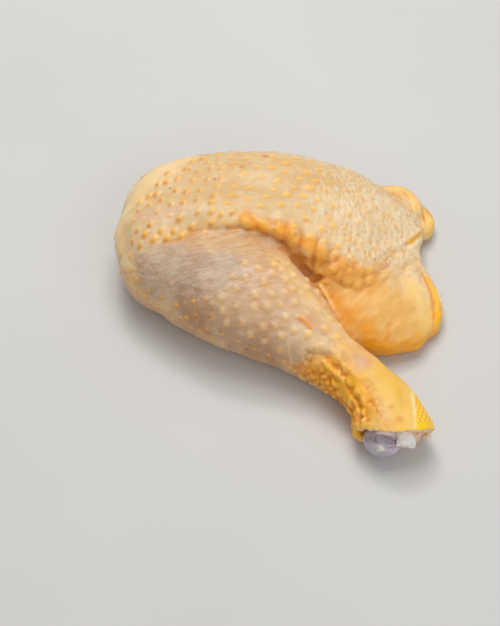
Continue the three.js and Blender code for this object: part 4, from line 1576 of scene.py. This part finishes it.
@dataclass(frozen=True)
class SkinPaint:
    """The skin's colours and its material."""

    leg: LegSkin
    thigh_shade: tuple[int, int, int] = (220, 186, 134)
    drumstick_shade: tuple[int, int, int] = (216, 174, 134)
    web_shade: tuple[int, int, int] = (234, 186, 112)
    cut_shade: tuple[int, int, int] = (236, 204, 182)

    def lay_washes(self) -> np.ndarray:
        """Works out the washed colour of every point, its painted shade and light included.

        Returns:
            A linear colour for each point.
        """
        leg, skin = self.leg, self.leg.skin
        weights = np.stack([leg.parts[part] for part in (Part.THIGH, Part.DRUMSTICK, Part.WEB)], axis=1)
        weights = np.maximum(weights, 1e-3)
        weights /= weights.sum(1)[:, None]
        plain = (self.thigh_shade, self.drumstick_shade, self.web_shade)
        shades = np.array([tone(*shade)[:3] for shade in plain])
        colours = skin.washed_colour(leg.sights, weights @ shades, WASHES + SPOTS, leg.parts)
        face = leg.cut_face()[:, None]
        cut = np.broadcast_to(np.array(tone(*self.cut_shade)[:3]), colours.shape)
        cut = skin.washed_colour(leg.sights, cut, CUT_WASHES, leg.parts)
        return colours * (1 - face) + face * cut

    def paint(self) -> None:
        """Stores the washed colours, painted shade and light included, and the weights on the mesh and gives
        it its material.
        """
        leg, skin = self.leg, self.leg.skin
        drumstick = leg.parts[Part.DRUMSTICK]
        washed_colour = self.lay_washes()
        skin.store_colour("washed_colour", washed_colour)
        skin.store("rich", fade(washed_colour[:, 2] / np.maximum(washed_colour[:, 0], 1e-3), 0.06, 0.30))
        muscle = 0.5 + 0.5 * leg.near_px(MUSCLE_PX, 12.0, 24.0)
        skin.store("flank", drumstick * fade(skin.points[:, 1], -30.0, -38.0) * muscle)
        skin.store("loose", leg.parts[Part.THIGH] * fade(skin.points[:, 0], 42.0, 10.0))
        skin.store("net", leg.net)
        skin.store("web", leg.parts[Part.WEB])
        skin.store("shin", leg.near_px(SHIN_PX, 14.0, 22.0) * drumstick)
        # how far each point stands out; the material paints shade in hollows and highlight on ridges from
        # these
        skin.store("crest", skin.crest(14))
        skin.store("broad_crest", skin.crest(60))
        self.dress()

    def dress(self) -> None:
        """Makes the wet skin material."""
        shader = Shader.begin("raw_skin")
        cap, low = shader.stored("cap"), shader.stored("cap_low")
        warmth, bold = shader.stored("cap_warmth"), shader.stored("cap_bold")
        loose, flank, web = shader.stored("loose"), shader.stored("flank"), shader.stored("web")
        shin, net = shader.stored("shin"), shader.stored("net")
        crest, broad = shader.stored("crest"), shader.stored("broad_crest")
        ragged = shader.noise(scale=800.0, detail=2.0)
        mottle = shader.noise(scale=170.0, detail=4.0, rough=0.6)
        fine = shader.noise(scale=1200.0, detail=3.0, rough=0.6)
        cloud = shader.noise(scale=70.0, detail=2.0)
        streak = shader.noise(shader.stretched((0, 0, 8), (620.0, 210.0, 420.0), 0.004), 1.0, 3.0, 0.6)
        grain = shader.noise(shader.stretched((0, 0, 17), (130.0, 1250.0, 900.0), 0.003), 1.0, 2.0, 0.5)
        slant = shader.noise(shader.stretched((0, 0, 52), (150.0, 560.0, 300.0), 0.005), 1.0, 3.0, 0.55)

        colour = shader.stored_colour("washed_colour")
        plain = 1 - shader.stored("rich") * 0.85
        colour = shader.blend(cloud.steps(0.42, 0.66) * plain * 0.22, colour, tone(240, 214, 178))
        colour = shader.blend(cloud.steps(0.50, 0.30) * plain * 0.22, colour, tone(224, 166, 110))
        colour = shader.blend(mottle.steps(0.48, 0.72) * plain * 0.24, colour, tone(248, 226, 190))
        colour = shader.blend(mottle.steps(0.48, 0.28) * 0.24, colour, tone(220, 150, 70))
        colour = shader.blend(streak.steps(0.54, 0.40) * loose * 0.34, colour, tone(222, 168, 88))
        colour = shader.blend(streak.steps(0.50, 0.66) * loose * plain * 0.42, colour, tone(248, 230, 200))
        colour = shader.blend(net.steps(0.35, 0.95) * plain * 0.40, colour, tone(246, 226, 192))
        colour = shader.blend(grain.steps(0.45, 0.75) * flank * 0.26, colour, tone(240, 218, 190))
        colour = shader.blend(grain.steps(0.50, 0.25) * flank * 0.20, colour, tone(176, 132, 92))
        colour = shader.blend(slant.steps(0.45, 0.25) * web * 0.20, colour, tone(236, 148, 40))
        colour = shader.blend(slant.steps(0.52, 0.75) * web * 0.30, colour, tone(252, 212, 140))

        # painted shade in hollows and painted highlight on ridges
        colour = self.paint_relief_shade_and_highlight(shader, colour, crest, broad, shin)
        # follicle caps, with painted shade on their lower sides
        colour = self.add_caps(shader, colour, cap + (ragged - 0.5) * 0.7, low, warmth, bold)
        colour, domes = self.add_scales(shader, colour)
        relief = (
            (fine - 0.5) * 0.12
            + (mottle - 0.5) * 0.30
            + (grain - 0.5) * flank * 0.34
            + (streak - 0.5) * loose * 0.50
            + (slant - 0.5) * web * 0.22
            + (ragged - 0.5) * shin * 0.10
            + domes * 0.20
        )
        wetness = shader.noise(scale=140.0, detail=3.0)
        shader.finish({
            "Base Color": colour,
            "Roughness": 0.42 + (mottle - 0.5) * 0.25,
            "Specular IOR Level": 0.32,
            "Subsurface Weight": 0.12,
            "Subsurface Radius": (0.7, 0.5, 0.35),
            "Subsurface Scale": 0.0014,
            "Coat Weight": wetness.steps(0.42, 0.72) * (1 - shader.stored("rich") * 0.6) * 0.34,
            "Coat Roughness": 0.16,
        }, relief)
        self.leg.piece.data.materials.append(shader.material)

    def paint_relief_shade_and_highlight(self, shader: Shader, colour: object, crest: Signal, broad: Signal,
                         shin: Signal) -> bpy.types.NodeSocket:
        """Paints shade into creases and hollows, deepening the colour there, and paints highlight on ridges,
        paling them.

        Args:
            shader: the material.
            colour: the colour so far.
            crest: how far the surface stands out from its surroundings, in millimetres.
            broad: the same over wider surroundings.
            shin: the weight of the shin's bunched skin.

        Returns:
            The new colour.
        """
        valley, ridge = crest.steps(-0.03, -0.32), crest.steps(0.05, 0.40)
        plain = 1 - shader.stored("rich")
        # painted shade in the creases and painted highlight on the ridges, away from the shin
        colour = shader.blend(valley * (1 - shin) * 0.45, colour, tone(214, 134, 34))
        colour = shader.blend(ridge * (1 - shin) * plain * 0.30, colour, tone(252, 222, 160))
        colour = shader.blend(ridge * (1 - shin) * (1 - plain) * 0.45, colour, tone(255, 192, 72))
        # painted shade between the shin's lumps and painted highlight on their tops
        colour = shader.blend(valley * shin * 0.60, colour, tone(220, 118, 2))
        colour = shader.blend(ridge * shin * 0.60, colour, tone(255, 200, 90))
        # painted shade in the broad hollows
        return shader.blend(broad.steps(-0.20, -1.30) * 0.40, colour, tone(204, 130, 48))

    def add_caps(self, shader: Shader, colour: object, cap: Signal, low: Signal, warmth: Signal,
                 bold: Signal) -> bpy.types.NodeSocket:
        """Colours the follicles' caps, paler above and darker on their lower side, partly the caps' own
        orange tips and partly painted shade, with a painted shadow along each one's lower edge.

        Args:
            shader: the material.
            colour: the colour so far.
            cap: how far a point is from the nearest cap's middle; 1 is its edge.
            low: how far down the cap it lies, from -1 to 1.
            warmth: 0 for a yellow cap, 1 for an orange one.
            bold: how strongly the cap shows.

        Returns:
            The new colour.
        """
        upper = shader.blend(warmth, tone(255, 206, 96), tone(252, 188, 76))
        lower = shader.blend(warmth, tone(250, 184, 74), tone(216, 130, 30))
        # darker towards the lower side: partly the caps' own orange tips, partly painted shade
        shade = shader.blend(low.steps(-0.7, 0.7), upper, lower)
        shade = shader.blend(shader.stored("cap_pale"), shade, tone(255, 204, 138))
        # painted shadow along the lower edge of each follicle
        rim = cap.steps(2.1, 1.0) * low.steps(0.0, 1.0) * bold
        colour = shader.blend(rim * 0.25, colour, tone(204, 134, 66))
        return shader.blend(cap.steps(1.45, 0.45) * bold * 0.92, colour, shade)

    def add_scales(self, shader: Shader, colour: object) -> tuple[bpy.types.NodeSocket, Signal]:
        """Colours the rows of round scales, with a painted highlight on each dome, and gives their relief.

        Args:
            shader: the material.
            colour: the colour so far.

        Returns:
            The new colour, and the scales' height from 0 to 1.
        """
        along, turn = shader.stored("scale_along"), shader.stored("scale_turn")
        weight = shader.stored("scale_weight")
        wave = 2 * math.pi / (self.leg.scale_pitch * ROW_STEP)
        first = (along * wave).maths("COSINE", along * wave)
        skew = turn * (wave * ROW_STEP)
        half = along * (wave * 0.5)
        second, third = half + skew, half - skew
        rows = (first + second.maths("COSINE", second) + third.maths("COSINE", third)) * (1 / 3)
        domes = rows.steps(-0.25, 0.75) * weight
        colour = shader.blend(weight * 0.92, colour, tone(255, 184, 2))
        # pale painted highlight on the domes' tops
        return shader.blend(domes * 0.85, colour, tone(255, 234, 130)), domes


# ---------------------------------------------------------------- the cut hock


BONE_RIDGES = (
    Ridge(around((385.5, 441.0), (12.0, 6.8), 18), 0.45, -0.45, Part.ANY, False),
    Ridge(((384, 449.5), (391, 448.5), (398, 446)), 0.5, -0.35),
    Ridge(((377.5, 449.5), (383, 449)), 0.9, 0.35),
)
BONE_WASHES = (
    Wash((164, 150, 164), ((379, 438), (386, 441), (392, 443)), 2.2, 1.4, Part.ANY, 0.85),
    # whitish tissue over the ball, painted lighter than its own colour as painted light in the shade under
    # the skin's edge
    Wash((250, 242, 248), ((379, 432.5), (390, 433), (400, 434)), 1.0, 1.0, Part.ANY, 0.9),
    Wash((106, 90, 112), ((375, 435), (375.5, 441), (380, 446), (388, 448.5)), 0.25, 0.6, Part.ANY, 0.8),
    Wash((140, 120, 116), ((366, 440), (372, 438), (375, 442)), 0.8, 1.6, Part.ANY, 0.7),
    Wash((128, 44, 52), ((384, 437), (391, 439.5), (397, 442.5)), 0.22, 0.4, Part.ANY, 0.9),
    Wash((134, 40, 50), ((385, 448.8), (392, 447.6), (398.6, 445.8)), 0.25, 0.45, Part.ANY, 0.9),
    Wash((244, 236, 206), ((378.5, 450), (382.5, 449.5), (380, 446)), 0.8, 0.6),
)
TENDON_WASHES = (
    Wash((240, 214, 196), ((398, 448), (404, 450), (412, 452)), 1.0, 1.6, Part.ANY, 0.6),
    Wash((252, 250, 240), ((408, 438), (411, 443), (412.5, 449)), 0.8, 1.4),
)


@dataclass
class CutEnd:
    """Something that sticks out of the cut hock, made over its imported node."""

    studio: Studio
    node: str
    name: str
    slot: str
    cell: float
    ridges: tuple[Ridge, ...]
    washes: tuple[Wash, ...]
    shade: tuple[int, int, int]
    uneven: float = 1.0

    def build(self) -> bpy.types.Object:
        """Makes the piece.

        Returns:
            The finished piece.
        """
        piece = merged_copy(self.node, self.name)
        even_out(piece, self.cell)
        surface = Surface(piece)
        surface.relax(6, 0.5, 0.51)
        sights = Sights(self.studio, surface.tree())
        swells = surface.noise(3.5, shift=3.0) * 0.16 + surface.noise(1.6, shift=5.0) * 0.07
        surface.push(swells * self.uneven)
        surface.lay(sights, self.ridges, {})
        plain = np.tile(np.array(tone(*self.shade)[:3]), (len(surface.points), 1))
        surface.store_colour("washed_colour", surface.washed_colour(sights, plain, self.washes, {}))
        self.dress(piece)
        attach(piece, "root")
        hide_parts(self.node)
        log.info("%s: %d faces", self.name, len(piece.data.polygons))
        return piece

    def dress(self, piece: bpy.types.Object) -> None:
        """Gives the piece its material."""
        raise NotImplementedError


@dataclass
class ShinBone(CutEnd):
    """The shin bone's cartilage end, with the bone that runs up into the leg."""

    node: str = "shin_bone"
    name: str = "shin_bone_end"
    slot: str = "cartilage"
    cell: float = 0.38
    ridges: tuple[Ridge, ...] = BONE_RIDGES
    washes: tuple[Wash, ...] = BONE_WASHES
    shade: tuple[int, int, int] = (188, 180, 188)

    def dress(self, piece: bpy.types.Object) -> None:
        """Gives the bone wet lilac cartilage."""
        shader = Shader.begin("wet_cartilage")
        cloud = shader.noise(scale=230.0, detail=3.0)
        fine = shader.noise(scale=1400.0, detail=2.0)
        washed_colour = shader.stored_colour("washed_colour")
        colour = shader.blend(cloud.steps(0.45, 0.75) * 0.5, washed_colour, tone(218, 208, 212))
        shader.finish({
            "Base Color": colour,
            "Roughness": 0.44 + (fine - 0.5) * 0.15,
            "Subsurface Weight": 0.25,
            "Subsurface Radius": (1.0, 0.8, 0.8),
            "Subsurface Scale": 0.0015,
            "Coat Weight": cloud * 0.3,
            "Coat Roughness": 0.25,
        }, (fine - 0.5) * 0.10 + (cloud - 0.5) * 0.25)
        piece.data.materials.append(shader.material)


@dataclass
class TendonStub(CutEnd):
    """The cut cord of tendon beside the shin bone."""

    node: str = "tendon"
    name: str = "tendon_stub"
    slot: str = "gristle"
    cell: float = 0.34
    ridges: tuple[Ridge, ...] = (
        Ridge(((396, 438), (400, 443), (402, 450)), 0.6, -0.4),
        Ridge(((404, 437), (408, 444), (412, 451)), 0.8, 0.4),
    )
    washes: tuple[Wash, ...] = TENDON_WASHES
    shade: tuple[int, int, int] = (255, 250, 236)
    uneven: float = 3.2

    def dress(self, piece: bpy.types.Object) -> None:
        """Gives the tendon wet cream gristle."""
        shader = Shader.begin("wet_gristle")
        strands = shader.noise(shader.stretched((0, 0, 25), (1500.0, 180.0, 1500.0)), 1.0, 2.0)
        washed_colour = shader.stored_colour("washed_colour")
        colour = shader.blend(strands.steps(0.5, 0.25) * 0.4, washed_colour, tone(224, 196, 166))
        shader.finish({
            "Base Color": colour,
            "Roughness": 0.36 + (strands - 0.5) * 0.2,
            "Subsurface Weight": 0.3,
            "Subsurface Radius": (1.0, 0.8, 0.6),
            "Subsurface Scale": 0.0015,
            "Coat Weight": strands * 0.5,
            "Coat Roughness": 0.16,
        }, (strands - 0.5) * 0.25)
        piece.data.materials.append(shader.material)


def main() -> None:
    """Builds the studio and every piece, and notes the sizes."""
    logging.basicConfig(level=logging.INFO, format="%(name)s: %(message)s")
    studio = Studio()
    studio.build()
    LegSkin(studio).build()
    ShinBone(studio).build()
    TendonStub(studio).build()


if __name__ == "__main__":
    main()
